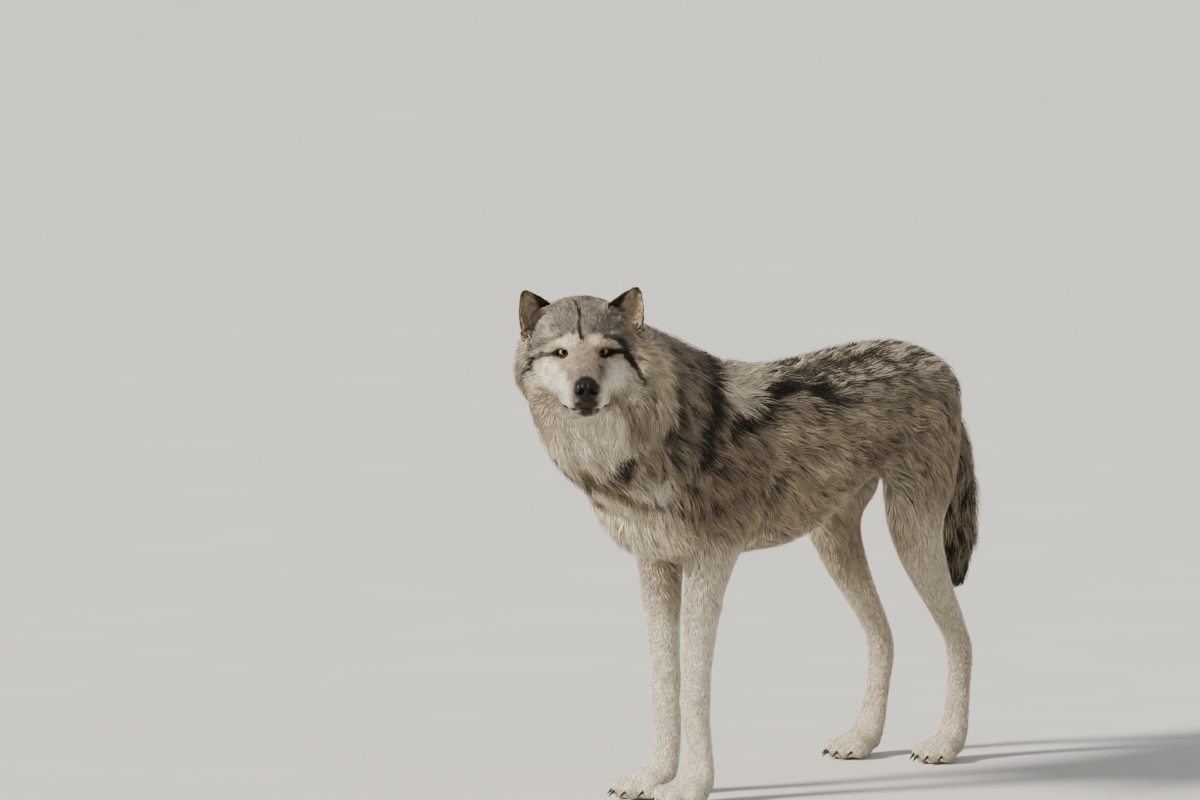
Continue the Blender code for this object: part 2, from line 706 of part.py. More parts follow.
def make_ear(side, bodies):
    """A curved leaf with a hollow front, set down into the fur of the head."""
    sign = SIDES[side]
    place = Matrix.Translation(head_point(*EAR_ROOT[side]._replace(side=sign * EAR_ROOT[side].side)))
    turn = Matrix.Rotation(HEAD_TURN, 4, "Z") @ Matrix.Rotation(-HEAD_NOD, 4, "Y")
    lean_out = Matrix.Rotation(-sign * EAR_LEAN[side], 4, "X")
    open_out = Matrix.Rotation(sign * EAR_TURN[side], 4, "Z")
    matrix = place @ turn @ lean_out @ open_out
    shape = bmesh.new()
    sheets = []
    for face, half in (("front", -0.5), ("back", 0.5)):
        sheet = []
        for row in range(EAR_ROWS):
            along = row / (EAR_ROWS - 1) * 0.97
            thickness = EAR_THICKNESS * (1 - 0.45 * along)
            sheet.append([shape.verts.new(matrix @ ear_point(2 * column / EAR_COLUMNS - 1, along,
                                                             half * thickness))
                          for column in range(EAR_COLUMNS + 1)])
        sheets.append(sheet)
    front, back = sheets
    for sheet in sheets:
        for row in range(EAR_ROWS - 1):
            for column in range(EAR_COLUMNS):
                shape.faces.new((sheet[row][column], sheet[row][column + 1],
                                 sheet[row + 1][column + 1], sheet[row + 1][column]))
    rim = [(row, 0) for row in range(EAR_ROWS)]
    rim += [(EAR_ROWS - 1, column) for column in range(1, EAR_COLUMNS + 1)]
    rim += [(row, EAR_COLUMNS) for row in range(EAR_ROWS - 2, -1, -1)]
    rim += [(0, column) for column in range(EAR_COLUMNS - 1, 0, -1)]
    for (row, column), (next_row, next_column) in zip(rim, rim[1:] + rim[:1]):
        shape.faces.new((front[row][column], front[next_row][next_column],
                         back[next_row][next_column], back[row][column]))
    ear = mesh_object(f"ear_{side}", shape)
    for body in bodies:
        cut_away(ear, body)
    return ear


def make_claws(paw_name, paw, leg):
    """Four blunt claws, each curving down from the front of its toe."""
    side, heel, toes, toe_size = paw
    claws = []
    for number, toe in enumerate(toes, start=1):
        place, turn = toe_place(side, toe, heel)
        rings = []
        for step in range(CLAW_RINGS):
            along = step / (CLAW_RINGS - 1)
            angle = CLAW_SLOPE[0] + (CLAW_SLOPE[1] - CLAW_SLOPE[0]) * along
            reach = toe_size.x * CLAW_ROOT + CLAW_LENGTH * along
            middle = Vector((-reach, 0, -0.002 - CLAW_DROP * along ** 1.6))
            size = CLAW_THICKNESS * (1.05 - 0.85 * along ** 1.5)
            outline = section(size * 0.8, size, size, points=CLAW_SIDES)
            lift = Vector((-math.sin(angle), 0, math.cos(angle)))
            rings.append([place + turn @ (middle + Vector((0, across, 0)) + lift * up)
                          for across, up in outline])
        shape = bmesh.new()
        skin_rings(shape, rings)
        claw = mesh_object(f"claw_{paw_name}_{number}", shape)
        cut_away(leg, claw)
        claws.append(claw)
    return claws


def finish(name, colour, roughness):
    material = bpy.data.materials.new(name)
    material.use_nodes = True
    shader = material.node_tree.nodes["Principled BSDF"]
    shader.inputs["Base Color"].default_value = (*colour, 1.0)
    shader.inputs["Roughness"].default_value = roughness
    shader.inputs["Metallic"].default_value = 0.0
    return material


def finish_of(name):
    kinds = {"head": "head_fur", "neck": "neck_fur", "trunk": "trunk_fur", "tail": "tail_fur",
             "ear": "ear_fur", "eye": "eye_amber", "nose": "nose_leather", "claw": "claw_horn"}
    return kinds.get(name.split("_")[0], "leg_fur")


def stand(pieces):
    """Put every piece on its own origin, and the wolf over the middle of the floor."""
    corners = [vert.co for piece in pieces for vert in piece.data.vertices]
    low = Vector([min(corner[axis] for corner in corners) for axis in range(3)])
    high = Vector([max(corner[axis] for corner in corners) for axis in range(3)])
    wolf = bpy.data.objects.new("wolf", None)
    bpy.context.collection.objects.link(wolf)
    wolf.location = (-(low.x + high.x) / 2, -(low.y + high.y) / 2, 0)
    materials = {name: finish(name, *values) for name, values in FINISHES.items()}
    for piece in pieces:
        middle = sum((vert.co for vert in piece.data.vertices), Vector())
        middle /= len(piece.data.vertices)
        piece.data.transform(Matrix.Translation(-middle))
        piece.location = middle
        piece.parent = wolf
        piece.data.materials.clear()
        piece.data.materials.append(materials[finish_of(piece.name)])
        piece.data.shade_smooth()
        piece.data.set_sharp_from_angle(angle=SHARP_EDGE)


def main():
    clear_scene()
    whole, paws = build_whole()
    bodies = part_whole(whole)
    extras = [make_nose(bodies["head"])]
    for side in SIDES:
        extras.append(make_eye(side, bodies["head"]))
        extras.append(make_ear(side, (bodies["head"], bodies["neck"])))
    for paw_name, paw in paws.items():
        extras += make_claws(paw_name, paw, bodies[paw_name])
    stand(list(bodies.values()) + extras)


main()
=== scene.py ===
import math
from collections import namedtuple

import bmesh
import bpy
import numpy as np
from mathutils import Matrix, Vector
from mathutils.bvhtree import BVHTree
from mathutils.kdtree import KDTree


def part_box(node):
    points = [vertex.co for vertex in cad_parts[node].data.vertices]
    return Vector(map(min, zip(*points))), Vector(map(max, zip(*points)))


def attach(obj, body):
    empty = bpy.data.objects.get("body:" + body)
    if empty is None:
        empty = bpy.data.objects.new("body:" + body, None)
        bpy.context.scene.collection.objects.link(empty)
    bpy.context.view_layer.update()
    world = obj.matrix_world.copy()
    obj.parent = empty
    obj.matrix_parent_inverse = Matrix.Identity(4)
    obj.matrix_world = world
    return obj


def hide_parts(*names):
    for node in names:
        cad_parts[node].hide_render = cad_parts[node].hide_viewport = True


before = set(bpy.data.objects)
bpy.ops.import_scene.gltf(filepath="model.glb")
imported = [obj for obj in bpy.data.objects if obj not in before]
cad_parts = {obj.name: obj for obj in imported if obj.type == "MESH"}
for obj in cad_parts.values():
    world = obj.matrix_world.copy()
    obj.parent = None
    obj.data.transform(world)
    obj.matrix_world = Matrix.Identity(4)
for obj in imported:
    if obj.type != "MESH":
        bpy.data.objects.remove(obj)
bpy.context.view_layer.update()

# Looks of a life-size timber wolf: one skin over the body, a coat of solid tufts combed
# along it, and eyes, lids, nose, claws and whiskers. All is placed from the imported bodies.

FLESH = ["head", "neck", "trunk", "tail", "foreleg_left", "foreleg_right", "hindleg_left",
         "hindleg_right", "ear_left", "ear_right"]
SIDES = {"left": -1, "right": 1}
chance = np.random.default_rng(7)

# ---------------------------------------------------------------- the wolf's own axes


def middle(node):
    low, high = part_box(node)
    return (low + high) / 2


EYE_DEPTH = 0.0105
EYEBALL = 0.0125
HEAD_NOD = math.radians(7)
EYE_LINE = middle("eye_right") - middle("eye_left")
HEAD_TURN = math.atan2(-EYE_LINE.x, EYE_LINE.y)
HEAD_AXES = (Matrix.Rotation(HEAD_TURN, 4, "Z") @ Matrix.Rotation(-HEAD_NOD, 4, "Y")
             @ Matrix.Diagonal((-1, 1, 1, 1)))
HEAD = (Matrix.Translation((middle("eye_left") + middle("eye_right")) / 2) @ HEAD_AXES
        @ Matrix.Translation((EYE_DEPTH, 0, 0)))
EYE_SPREAD = EYE_LINE.length / 2
WITHERS_FROM_TRUNK = 0.2144
WITHERS = Vector((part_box("trunk")[0].x + WITHERS_FROM_TRUNK,
                  (middle("foreleg_left").y + middle("foreleg_right").y) / 2, 0))
BODY = Matrix.Translation(WITHERS)
EAR_LENGTH = 0.123
EAR_HALF_WIDTH = 0.043
EAR_ROOT = {"left": (-0.056, -0.051, -0.001), "right": (-0.056, 0.050, -0.003)}
EAR_LEAN = {"left": 23, "right": 29}
EAR_TURN = {"left": -6, "right": 22}
FRAMES = {"head": HEAD, "body": BODY}
for ear, sign in (("left", -1), ("right", 1)):
    upright = (Matrix.Rotation(HEAD_TURN, 4, "Z") @ Matrix.Rotation(-HEAD_NOD, 4, "Y")
               @ Matrix.Rotation(math.radians(-sign * EAR_LEAN[ear]), 4, "X")
               @ Matrix.Rotation(math.radians(sign * EAR_TURN[ear]), 4, "Z"))
    FRAMES[f"ear_{ear}"] = Matrix.Translation(HEAD @ Vector(EAR_ROOT[ear])) @ upright


def place(axes, point):
    """A point of the head (ahead, to its right, up) or the body (x, y, z) in the row frame."""
    return FRAMES[axes] @ Vector(point)


def turned(axes, way):
    return (FRAMES[axes].to_3x3() @ Vector(way)).normalized()


def into(axes, points):
    """Many points of the row frame in the axes of the head or the body."""
    inverse = np.array(FRAMES[axes].inverted())
    return points @ inverse[:3, :3].T + inverse[:3, 3]


# ---------------------------------------------------------------- small tools


def smooth_step(low, high, values):
    t = np.clip((values - low) / (high - low), 0, 1)
    return t * t * (3 - 2 * t)


def unit(vectors):
    return vectors / np.maximum(np.linalg.norm(vectors, axis=1, keepdims=True), 1e-9)


def noise(points, size, seed=0):
    """Soft value noise from 0 to 1, at one size of blotch."""
    spots = points / size + seed * 17.31
    cell = np.floor(spots).astype(np.int64)
    part = spots - cell
    part = part * part * (3 - 2 * part)
    total = np.zeros(len(points))
    for corner in range(8):
        step = np.array([corner & 1, corner >> 1 & 1, corner >> 2 & 1])
        key = (cell + step) @ np.array([374761393, 668265263, 2147483647 // 3])
        key = (key ^ (key >> 13)) * 1274126177 & 0x7FFFFFFF
        value = (key ^ (key >> 16)) % 65536 / 65535
        share = np.prod(np.where(step == 1, part, 1 - part), axis=1)
        total += share * value
    return total


def blend(first, second, share):
    """Colours part of the way from the first to the second, by a share at each place."""
    first = np.asarray(first)
    return first + share[..., None] * (np.asarray(second) - first)


def spread_from(local, at, size):
    """How far points are from a place, where its size along each axis counts as 1."""
    return np.linalg.norm((local - np.array(at)) / np.array(size), axis=1)


def nearness(local, at, reach, sign):
    """How near points are to a place on one side: 1 there, and 0 from its reach on."""
    spot = np.array((at[0], at[1] * sign, at[2]))
    return np.clip(1 - (np.linalg.norm(local - spot, axis=1) / reach) ** 2, 0, 1) ** 2


def deselect_all():
    for thing in bpy.context.selected_objects:
        thing.select_set(False)


def select_only(thing):
    deselect_all()
    thing.select_set(True)
    bpy.context.view_layer.objects.active = thing


def joined(things):
    """Several objects made one, in the first of them."""
    deselect_all()
    for thing in things:
        thing.select_set(True)
    bpy.context.view_layer.objects.active = things[0]
    bpy.ops.object.join()
    return things[0]


def change(thing, kind, **settings):
    """Run one modifier over a thing."""
    modifier = thing.modifiers.new(kind.lower(), kind)
    for name, value in settings.items():
        setattr(modifier, name, value)
    select_only(thing)
    bpy.ops.object.modifier_apply(modifier=modifier.name)


def rename(thing, name):
    thing.name = name
    thing.data.name = name


def new_thing(name, data):
    """A new object in the scene."""
    thing = bpy.data.objects.new(name, data)
    bpy.context.collection.objects.link(thing)
    return thing


def taken(items, key, width, kind=np.float64):
    """One property of every vertex, edge or corner of a mesh, as rows."""
    values = np.empty(len(items) * width, dtype=kind)
    items.foreach_get(key, values)
    return values.reshape(-1, width)


def points_of(mesh):
    return taken(mesh.vertices, "co", 3)


def normals_of(mesh):
    return taken(mesh.vertex_normals, "vector", 3)


def tree_of(thing):
    return BVHTree.FromPolygons([vert.co for vert in thing.data.vertices],
                                [tuple(face.vertices) for face in thing.data.polygons])


def set_points(mesh, points):
    mesh.vertices.foreach_set("co", points.reshape(-1))
    mesh.update()


def merge_near(thing, distance=0.00002):
    select_only(thing)
    bpy.ops.object.mode_set(mode="EDIT")
    bpy.ops.mesh.select_all(action="SELECT")
    bpy.ops.mesh.remove_doubles(threshold=distance)
    bpy.ops.object.mode_set(mode="OBJECT")


def copy_of_node(node, name):
    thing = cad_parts[node].copy()
    thing.data = thing.data.copy()
    rename(thing, name)
    thing.parent = None
    for key in list(thing.keys()):
        del thing[key]
    bpy.context.collection.objects.link(thing)
    thing.data.materials.clear()
    merge_near(thing)
    return thing


def remesh(thing, size):
    change(thing, "REMESH", mode="VOXEL", voxel_size=size)


def smooth(thing, rounds, group=""):
    change(thing, "SMOOTH", factor=0.5, iterations=rounds, vertex_group=group)


def rounded(thing, rounds):
    change(thing, "SUBSURF", levels=rounds, render_levels=rounds)
    thing.data.shade_smooth()


def largest_shell(thing):
    """Only the outer surface stays, without pockets closed in under it."""
    shape = bmesh.new()
    shape.from_mesh(thing.data)
    unseen = set(shape.verts)
    shells = []
    while unseen:
        to_visit = [unseen.pop()]
        shell = []
        while to_visit:
            vert = to_visit.pop()
            shell.append(vert)
            for edge in vert.link_edges:
                other = edge.other_vert(vert)
                if other in unseen:
                    unseen.remove(other)
                    to_visit.append(other)
        shells.append(shell)
    shells.sort(key=len)
    stray = [vert for shell in shells[:-1] for vert in shell]
    bmesh.ops.delete(shape, geom=stray, context="VERTS")
    shape.to_mesh(thing.data)
    shape.free()


# ---------------------------------------------------------------- the lie of the coat

# Each row: where, which way the hair lies, its length, how thick the coat is there, how
# wide a tuft is, and how far the row is heard. Rows off the midline hold for both sides.
Lie = namedtuple("Lie", "axes at way length depth width reach")

COAT = [
    Lie("head", (0.118, 0.010, -0.020), (-1.0, 0.15, 0.30), 0.006, 0.0020, 0.0008, 0.016),
    Lie("head", (0.078, 0.010, -0.004), (-1.0, 0.10, 0.15), 0.008, 0.0025, 0.0009, 0.018),
    Lie("head", (0.036, 0.010, 0.010), (-1.0, 0.25, 0.50), 0.009, 0.0030, 0.0009, 0.018),
    Lie("head", (0.002, 0.012, 0.030), (-0.7, 0.35, 0.70), 0.012, 0.0040, 0.0009, 0.018),
    Lie("head", (-0.030, 0.020, 0.070), (-1.0, 0.30, 0.50), 0.017, 0.0060, 0.0011, 0.026),
    Lie("head", (-0.080, 0.025, 0.084), (-1.0, 0.20, -0.10), 0.024, 0.0090, 0.0011, 0.032),
    Lie("head", (-0.140, 0.030, 0.060), (-1.0, 0.10, -0.40), 0.042, 0.0150, 0.0015, 0.040),
    Lie("head", (0.008, 0.034, 0.018), (-0.5, 0.70, 0.50), 0.009, 0.0030, 0.0009, 0.014),
    Lie("head", (-0.006, 0.058, 0.002), (-0.8, 0.60, -0.15), 0.012, 0.0040, 0.0009, 0.018),
    Lie("head", (-0.032, 0.074, 0.034), (-0.8, 0.50, -0.05), 0.018, 0.0070, 0.0012, 0.024),
    Lie("head", (0.022, 0.045, -0.022), (-0.8, 0.50, -0.35), 0.009, 0.0030, 0.0009, 0.018),
    Lie("head", (-0.006, 0.074, -0.035), (-0.7, 0.60, -0.40), 0.018, 0.0065, 0.0012, 0.022),
    Lie("head", (-0.030, 0.096, -0.060), (-0.6, 0.60, -0.60), 0.034, 0.0120, 0.0014, 0.030),
    Lie("head", (0.078, 0.042, -0.045), (-1.0, 0.25, -0.15), 0.008, 0.0025, 0.0009, 0.018),
    Lie("head", (0.108, 0.030, -0.050), (-0.9, 0.50, -0.20), 0.006, 0.0020, 0.0008, 0.016),
    Lie("head", (0.045, 0.048, -0.062), (-1.0, 0.20, -0.40), 0.010, 0.0030, 0.0009, 0.018),
    Lie("head", (0.105, 0.012, -0.090), (-0.6, 0.20, -0.80), 0.009, 0.0030, 0.0009, 0.016),
    Lie("head", (0.040, 0.038, -0.098), (-0.8, 0.20, -0.60), 0.018, 0.0060, 0.0010, 0.024),
    Lie("head", (-0.010, 0.020, -0.132), (-0.3, 0.10, -1.00), 0.040, 0.0140, 0.0015, 0.035),
    Lie("head", (-0.060, 0.115, -0.060), (-0.5, 0.50, -0.70), 0.050, 0.0180, 0.0015, 0.040),
    Lie("head", (-0.045, 0.085, -0.125), (-0.3, 0.35, -0.90), 0.055, 0.0190, 0.0015, 0.040),
    Lie("head", (-0.115, 0.100, 0.020), (-1.0, 0.15, -0.50), 0.042, 0.0150, 0.0015, 0.040),
    Lie("body", (-0.280, 0.030, 0.885), (1.0, 0.20, -0.45), 0.060, 0.0220, 0.0017, 0.060),
    Lie("body", (-0.150, 0.030, 0.840), (1.0, 0.20, -0.50), 0.066, 0.0240, 0.0018, 0.060),
    Lie("body", (-0.020, 0.030, 0.785), (1.0, 0.15, -0.25), 0.062, 0.0220, 0.0018, 0.060),
    Lie("body", (-0.350, 0.145, 0.740), (0.35, 0.10, -0.90), 0.060, 0.0210, 0.0017, 0.050),
    Lie("body", (-0.250, 0.160, 0.740), (0.70, 0.00, -0.70), 0.066, 0.0240, 0.0018, 0.060),
    Lie("body", (-0.150, 0.150, 0.680), (0.80, 0.00, -0.60), 0.066, 0.0240, 0.0018, 0.060),
    Lie("body", (-0.400, 0.040, 0.650), (0.25, 0.05, -1.00), 0.058, 0.0200, 0.0016, 0.050),
    Lie("body", (-0.310, 0.050, 0.570), (0.35, 0.05, -1.00), 0.056, 0.0190, 0.0016, 0.050),
    Lie("body", (-0.235, 0.040, 0.520), (0.15, 0.15, -1.00), 0.050, 0.0160, 0.0015, 0.050),
    Lie("body", (-0.200, 0.130, 0.580), (0.50, 0.00, -0.85), 0.054, 0.0180, 0.0016, 0.050),
    Lie("body", (-0.120, 0.030, 0.432), (1.0, 0.00, -0.30), 0.034, 0.0110, 0.0015, 0.050),
    Lie("body", (-0.050, 0.150, 0.600), (0.70, 0.00, -0.70), 0.046, 0.0160, 0.0015, 0.060),
    Lie("body", (-0.030, 0.140, 0.700), (0.90, 0.00, -0.50), 0.056, 0.0200, 0.0017, 0.060),
    Lie("body", (0.150, 0.040, 0.770), (1.0, 0.15, -0.12), 0.054, 0.0190, 0.0017, 0.070),
    Lie("body", (0.350, 0.040, 0.770), (1.0, 0.15, -0.10), 0.052, 0.0180, 0.0017, 0.070),
    Lie("body", (0.530, 0.040, 0.780), (1.0, 0.12, -0.25), 0.050, 0.0170, 0.0016, 0.060),
    Lie("body", (0.640, 0.030, 0.720), (0.60, 0.00, -0.80), 0.046, 0.0150, 0.0016, 0.040),
    Lie("body", (0.150, 0.140, 0.670), (1.0, 0.00, -0.35), 0.050, 0.0180, 0.0016, 0.070),
    Lie("body", (0.150, 0.150, 0.570), (0.90, 0.00, -0.50), 0.048, 0.0170, 0.0016, 0.070),
    Lie("body", (0.150, 0.110, 0.460), (0.90, 0.00, -0.75), 0.050, 0.0140, 0.0015, 0.060),
    Lie("body", (0.200, 0.020, 0.435), (0.95, 0.25, -0.50), 0.046, 0.0120, 0.0014, 0.070),
    Lie("body", (0.370, 0.090, 0.520), (1.0, 0.00, -0.45), 0.038, 0.0120, 0.0014, 0.060),
    Lie("body", (0.350, 0.140, 0.650), (1.0, 0.00, -0.35), 0.048, 0.0160, 0.0016, 0.070),
    Lie("body", (0.480, 0.135, 0.680), (0.90, 0.00, -0.50), 0.044, 0.0140, 0.0015, 0.060),
    Lie("body", (0.560, 0.130, 0.590), (0.50, 0.00, -0.85), 0.036, 0.0120, 0.0014, 0.060),
    Lie("body", (0.635, 0.080, 0.600), (0.30, 0.00, -1.00), 0.042, 0.0140, 0.0015, 0.050),
    Lie("body", (0.550, 0.120, 0.470), (0.30, 0.00, -1.00), 0.026, 0.0080, 0.0014, 0.050),
    Lie("body", (0.600, 0.100, 0.340), (0.55, 0.00, -0.85), 0.018, 0.0055, 0.0012, 0.040),
    Lie("body", (0.670, 0.090, 0.220), (0.10, 0.00, -1.00), 0.013, 0.0040, 0.0010, 0.040),
    Lie("body", (0.655, 0.090, 0.120), (-0.05, 0.00, -1.00), 0.012, 0.0035, 0.0010, 0.040),
    Lie("body", (0.610, 0.090, 0.035), (-0.90, 0.00, -0.35), 0.009, 0.0025, 0.0012, 0.040),
    Lie("body", (-0.010, 0.110, 0.470), (0.45, 0.00, -0.90), 0.032, 0.0100, 0.0015, 0.045),
    Lie("body", (-0.090, 0.080, 0.420), (0.10, 0.00, -1.00), 0.022, 0.0065, 0.0012, 0.040),
    Lie("body", (-0.065, 0.070, 0.300), (0.05, 0.00, -1.00), 0.014, 0.0040, 0.0010, 0.040),
    Lie("body", (-0.065, 0.060, 0.180), (0.05, 0.00, -1.00), 0.012, 0.0035, 0.0010, 0.040),
    Lie("body", (-0.065, 0.060, 0.090), (-0.10, 0.00, -1.00), 0.011, 0.0030, 0.0010, 0.035),
    Lie("body", (-0.110, 0.065, 0.035), (-0.90, 0.00, -0.35), 0.009, 0.0025, 0.0012, 0.040),
    Lie("body", (0.660, 0.000, 0.690), (0.70, 0.00, -0.70), 0.048, 0.0160, 0.0016, 0.035),
    Lie("body", (0.712, 0.000, 0.600), (0.20, 0.00, -1.00), 0.060, 0.0210, 0.0017, 0.040),
    Lie("body", (0.728, -0.010, 0.470), (0.00, 0.00, -1.00), 0.066, 0.0240, 0.0018, 0.050),
    Lie("body", (0.720, -0.018, 0.380), (-0.05, 0.00, -1.00), 0.060, 0.0200, 0.0017, 0.040),
    Lie("body", (0.710, -0.022, 0.320), (-0.10, 0.00, -1.00), 0.040, 0.0110, 0.0016, 0.030),
]


def both_sides(rows):
    """The rows for the left and the right, from rows that give the right side."""
    full = []
    for row in rows:
        full.append(row)
        if row.at[1] > 0:
            flipped = row._replace(at=(row.at[0], -row.at[1], row.at[2]))
            if hasattr(row, "way"):
                flipped = flipped._replace(way=(row.way[0], -row.way[1], row.way[2]))
            full.append(flipped)
    return full


COAT_ROWS = both_sides(COAT)
ROW_PLACES = np.array([place(row.axes, row.at) for row in COAT_ROWS])
ROW_VALUES = np.array([[*turned(row.axes, row.way), row.length, row.depth, row.width]
                       for row in COAT_ROWS])
ROW_REACH = np.array([row.reach for row in COAT_ROWS])
BATCH = 40000


def coat_at(points):
    """Way, length, depth and tuft width of the coat at many points, blended from the rows."""
    values = np.empty((len(points), ROW_VALUES.shape[1]))
    for start in range(0, len(points), BATCH):
        some = points[start:start + BATCH]
        distance = ((some[:, None, :] - ROW_PLACES[None]) ** 2).sum(2) / ROW_REACH ** 2
        share = 1 / (distance + 0.12) ** 3
        share /= share.sum(1, keepdims=True)
        values[start:start + BATCH] = share @ ROW_VALUES
    return values[:, :3], values[:, 3], values[:, 4], values[:, 5]


# ---------------------------------------------------------------- markings

WHITE = (0.82, 0.75, 0.61)
BROWN = (0.120, 0.088, 0.058)
SOOT = (0.022, 0.019, 0.017)
BLACK = (0.008, 0.007, 0.007)
TAWNY = (0.30, 0.25, 0.18)
EAR_BACK = (0.150, 0.108, 0.068)
EAR_RIM_AND_SHADE = (0.028, 0.021, 0.015)
EAR_INNER = (0.36, 0.275, 0.185)
EAR_DEEP = (0.50, 0.43, 0.33)

# Each patch of the markings: where, how far it reaches along its axes, its colour, how
# many of its hairs have black tips, and how strongly it covers what lies under it.
# Patches off the midline are on both sides.
Patch = namedtuple("Patch", "axes at size colour tips cover", defaults=(1.0,))

BODY_PATCHES = [
    Patch("body", (0.300, 0, 0.150), (1.300, 0.500, 0.330), (0.72, 0.63, 0.49), 0.04),
    Patch("body", (-0.090, 0, 0.230), (0.130, 0.200, 0.260), (0.84, 0.76, 0.62), 0.00),
    Patch("body", (0.220, 0, 0.400), (0.420, 0.130, 0.100), (0.42, 0.35, 0.255), 0.15),
    Patch("body", (-0.330, 0, 0.530), (0.180, 0.110, 0.160), (0.74, 0.65, 0.49), 0.04),
    Patch("body", (0.320, 0, 0.850), (0.460, 0.190, 0.170), (0.50, 0.43, 0.33), 0.58),
    Patch("body", (-0.220, 0, 0.800), (0.170, 0.260, 0.210), (0.175, 0.143, 0.106), 0.46),
    Patch("body", (-0.220, 0.110, 0.870), (0.170, 0.130, 0.060), (0.26, 0.22, 0.17), 0.50, 0.7),
    Patch("body", (-0.250, 0.165, 0.800), (0.050, 0.060, 0.070), (0.30, 0.25, 0.19), 0.30, 0.6),
    Patch("body", (-0.050, 0.110, 0.755), (0.085, 0.080, 0.060), (0.66, 0.58, 0.45), 0.16),
    Patch("body", (0.050, 0.080, 0.782), (0.090, 0.080, 0.040), (0.66, 0.58, 0.45), 0.30, 0.9),
    Patch("body", (-0.085, 0.150, 0.735), (0.045, 0.060, 0.022), (0.52, 0.45, 0.33), 0.10, 0.8),
    Patch("body", (0.110, 0.150, 0.640), (0.240, 0.080, 0.070), (0.34, 0.275, 0.195), 0.34),
    Patch("body", (0.120, 0.130, 0.540), (0.260, 0.090, 0.060), (0.33, 0.265, 0.185), 0.22, 0.9),
    Patch("body", (-0.130, 0.150, 0.610), (0.110, 0.080, 0.080), (0.24, 0.19, 0.135), 0.34),
    Patch("body", (0.560, 0.140, 0.590), (0.120, 0.080, 0.110), (0.34, 0.28, 0.20), 0.30),
    Patch("body", (0.350, 0.140, 0.600), (0.070, 0.050, 0.035), BROWN, 0.30, 0.6),
    Patch("body", (0.060, 0.150, 0.665), (0.060, 0.050, 0.022), (0.50, 0.42, 0.30), 0.20, 0.7),
    Patch("body", (0.170, 0.150, 0.600), (0.070, 0.050, 0.020), (0.50, 0.42, 0.30), 0.20, 0.7),
    Patch("body", (0.290, 0.150, 0.665), (0.060, 0.050, 0.020), (0.48, 0.40, 0.29), 0.20, 0.7),
    Patch("body", (0.240, 0.140, 0.530), (0.070, 0.050, 0.018), (0.48, 0.40, 0.29), 0.15, 0.7),
    Patch("body", (0.470, 0.140, 0.660), (0.050, 0.050, 0.024), (0.46, 0.38, 0.27), 0.20, 0.7),
    Patch("body", (-0.290, 0.100, 0.585), (0.060, 0.050, 0.045), (0.60, 0.545, 0.45), 0.06, 0.9),
    Patch("body", (-0.345, 0.180, 0.745), (0.032, 0.040, 0.045), (0.44, 0.38, 0.29), 0.10, 0.9),
    Patch("body", (-0.400, 0.030, 0.690), (0.060, 0.090, 0.055), (0.68, 0.59, 0.44), 0.05, 0.9),
]
HEAD_PATCHES = [
    Patch("head", (-0.050, 0, -0.030), (0.120, 0.125, 0.110), (0.40, 0.335, 0.245), 0.22),
    Patch("head", (-0.040, 0, 0.075), (0.080, 0.080, 0.055), (0.225, 0.196, 0.155), 0.24),
    Patch("head", (-0.060, 0.038, 0.082), (0.040, 0.020, 0.020), (0.36, 0.30, 0.21), 0.20, 0.7),
    Patch("head", (0.000, 0.034, 0.040), (0.030, 0.036, 0.014), (0.170, 0.155, 0.135), 0.22, 0.9),
    Patch("head", (-0.026, 0.070, 0.020), (0.030, 0.018, 0.016), (0.170, 0.155, 0.135), 0.22, 0.85),
    Patch("head", (-0.040, 0.094, 0.010), (0.040, 0.014, 0.028), (0.50, 0.43, 0.31), 0.08, 0.85),
    Patch("head", (-0.055, 0.112, -0.035), (0.040, 0.016, 0.050), (0.50, 0.43, 0.31), 0.06, 0.8),
    Patch("head", (-0.026, 0.092, -0.050), (0.030, 0.014, 0.028), (0.30, 0.26, 0.20), 0.25, 0.7),
    Patch("head", (0.010, 0.028, 0.018), (0.026, 0.020, 0.0085), (0.70, 0.585, 0.41), 0.02),
    Patch("head", (0.016, 0.052, -0.036), (0.040, 0.028, 0.025), WHITE, 0.00),
    Patch("head", (-0.010, 0.078, -0.062), (0.024, 0.014, 0.028), (0.60, 0.53, 0.41), 0.04, 0.9),
    Patch("head", (0.062, 0, 0.004), (0.070, 0.021, 0.018), (0.36, 0.29, 0.225), 0.10),
    Patch("head", (0.040, 0.020, -0.004), (0.030, 0.012, 0.012), (0.42, 0.33, 0.24), 0.03, 0.7),
    Patch("head", (0.085, 0.040, -0.050), (0.055, 0.026, 0.027), WHITE, 0.00),
    Patch("head", (0.112, 0, -0.016), (0.014, 0.015, 0.0090), (0.20, 0.165, 0.14), 0.10, 0.8),
    Patch("head", (0.080, 0, -0.102), (0.055, 0.040, 0.019), (0.74, 0.67, 0.55), 0.00),
    Patch("head", (0.020, 0.045, -0.105), (0.050, 0.030, 0.022), (0.74, 0.67, 0.54), 0.03),
    Patch("head", (-0.020, 0.030, -0.140), (0.060, 0.080, 0.050), (0.70, 0.62, 0.47), 0.04),
    Patch("head", (-0.036, 0.078, -0.105), (0.024, 0.024, 0.030), (0.20, 0.165, 0.12), 0.25, 0.8),
]

# Each stroke: the path of its middle, its half width from start to end, and the same.
Stroke = namedtuple("Stroke", "axes path width colour tips cover")

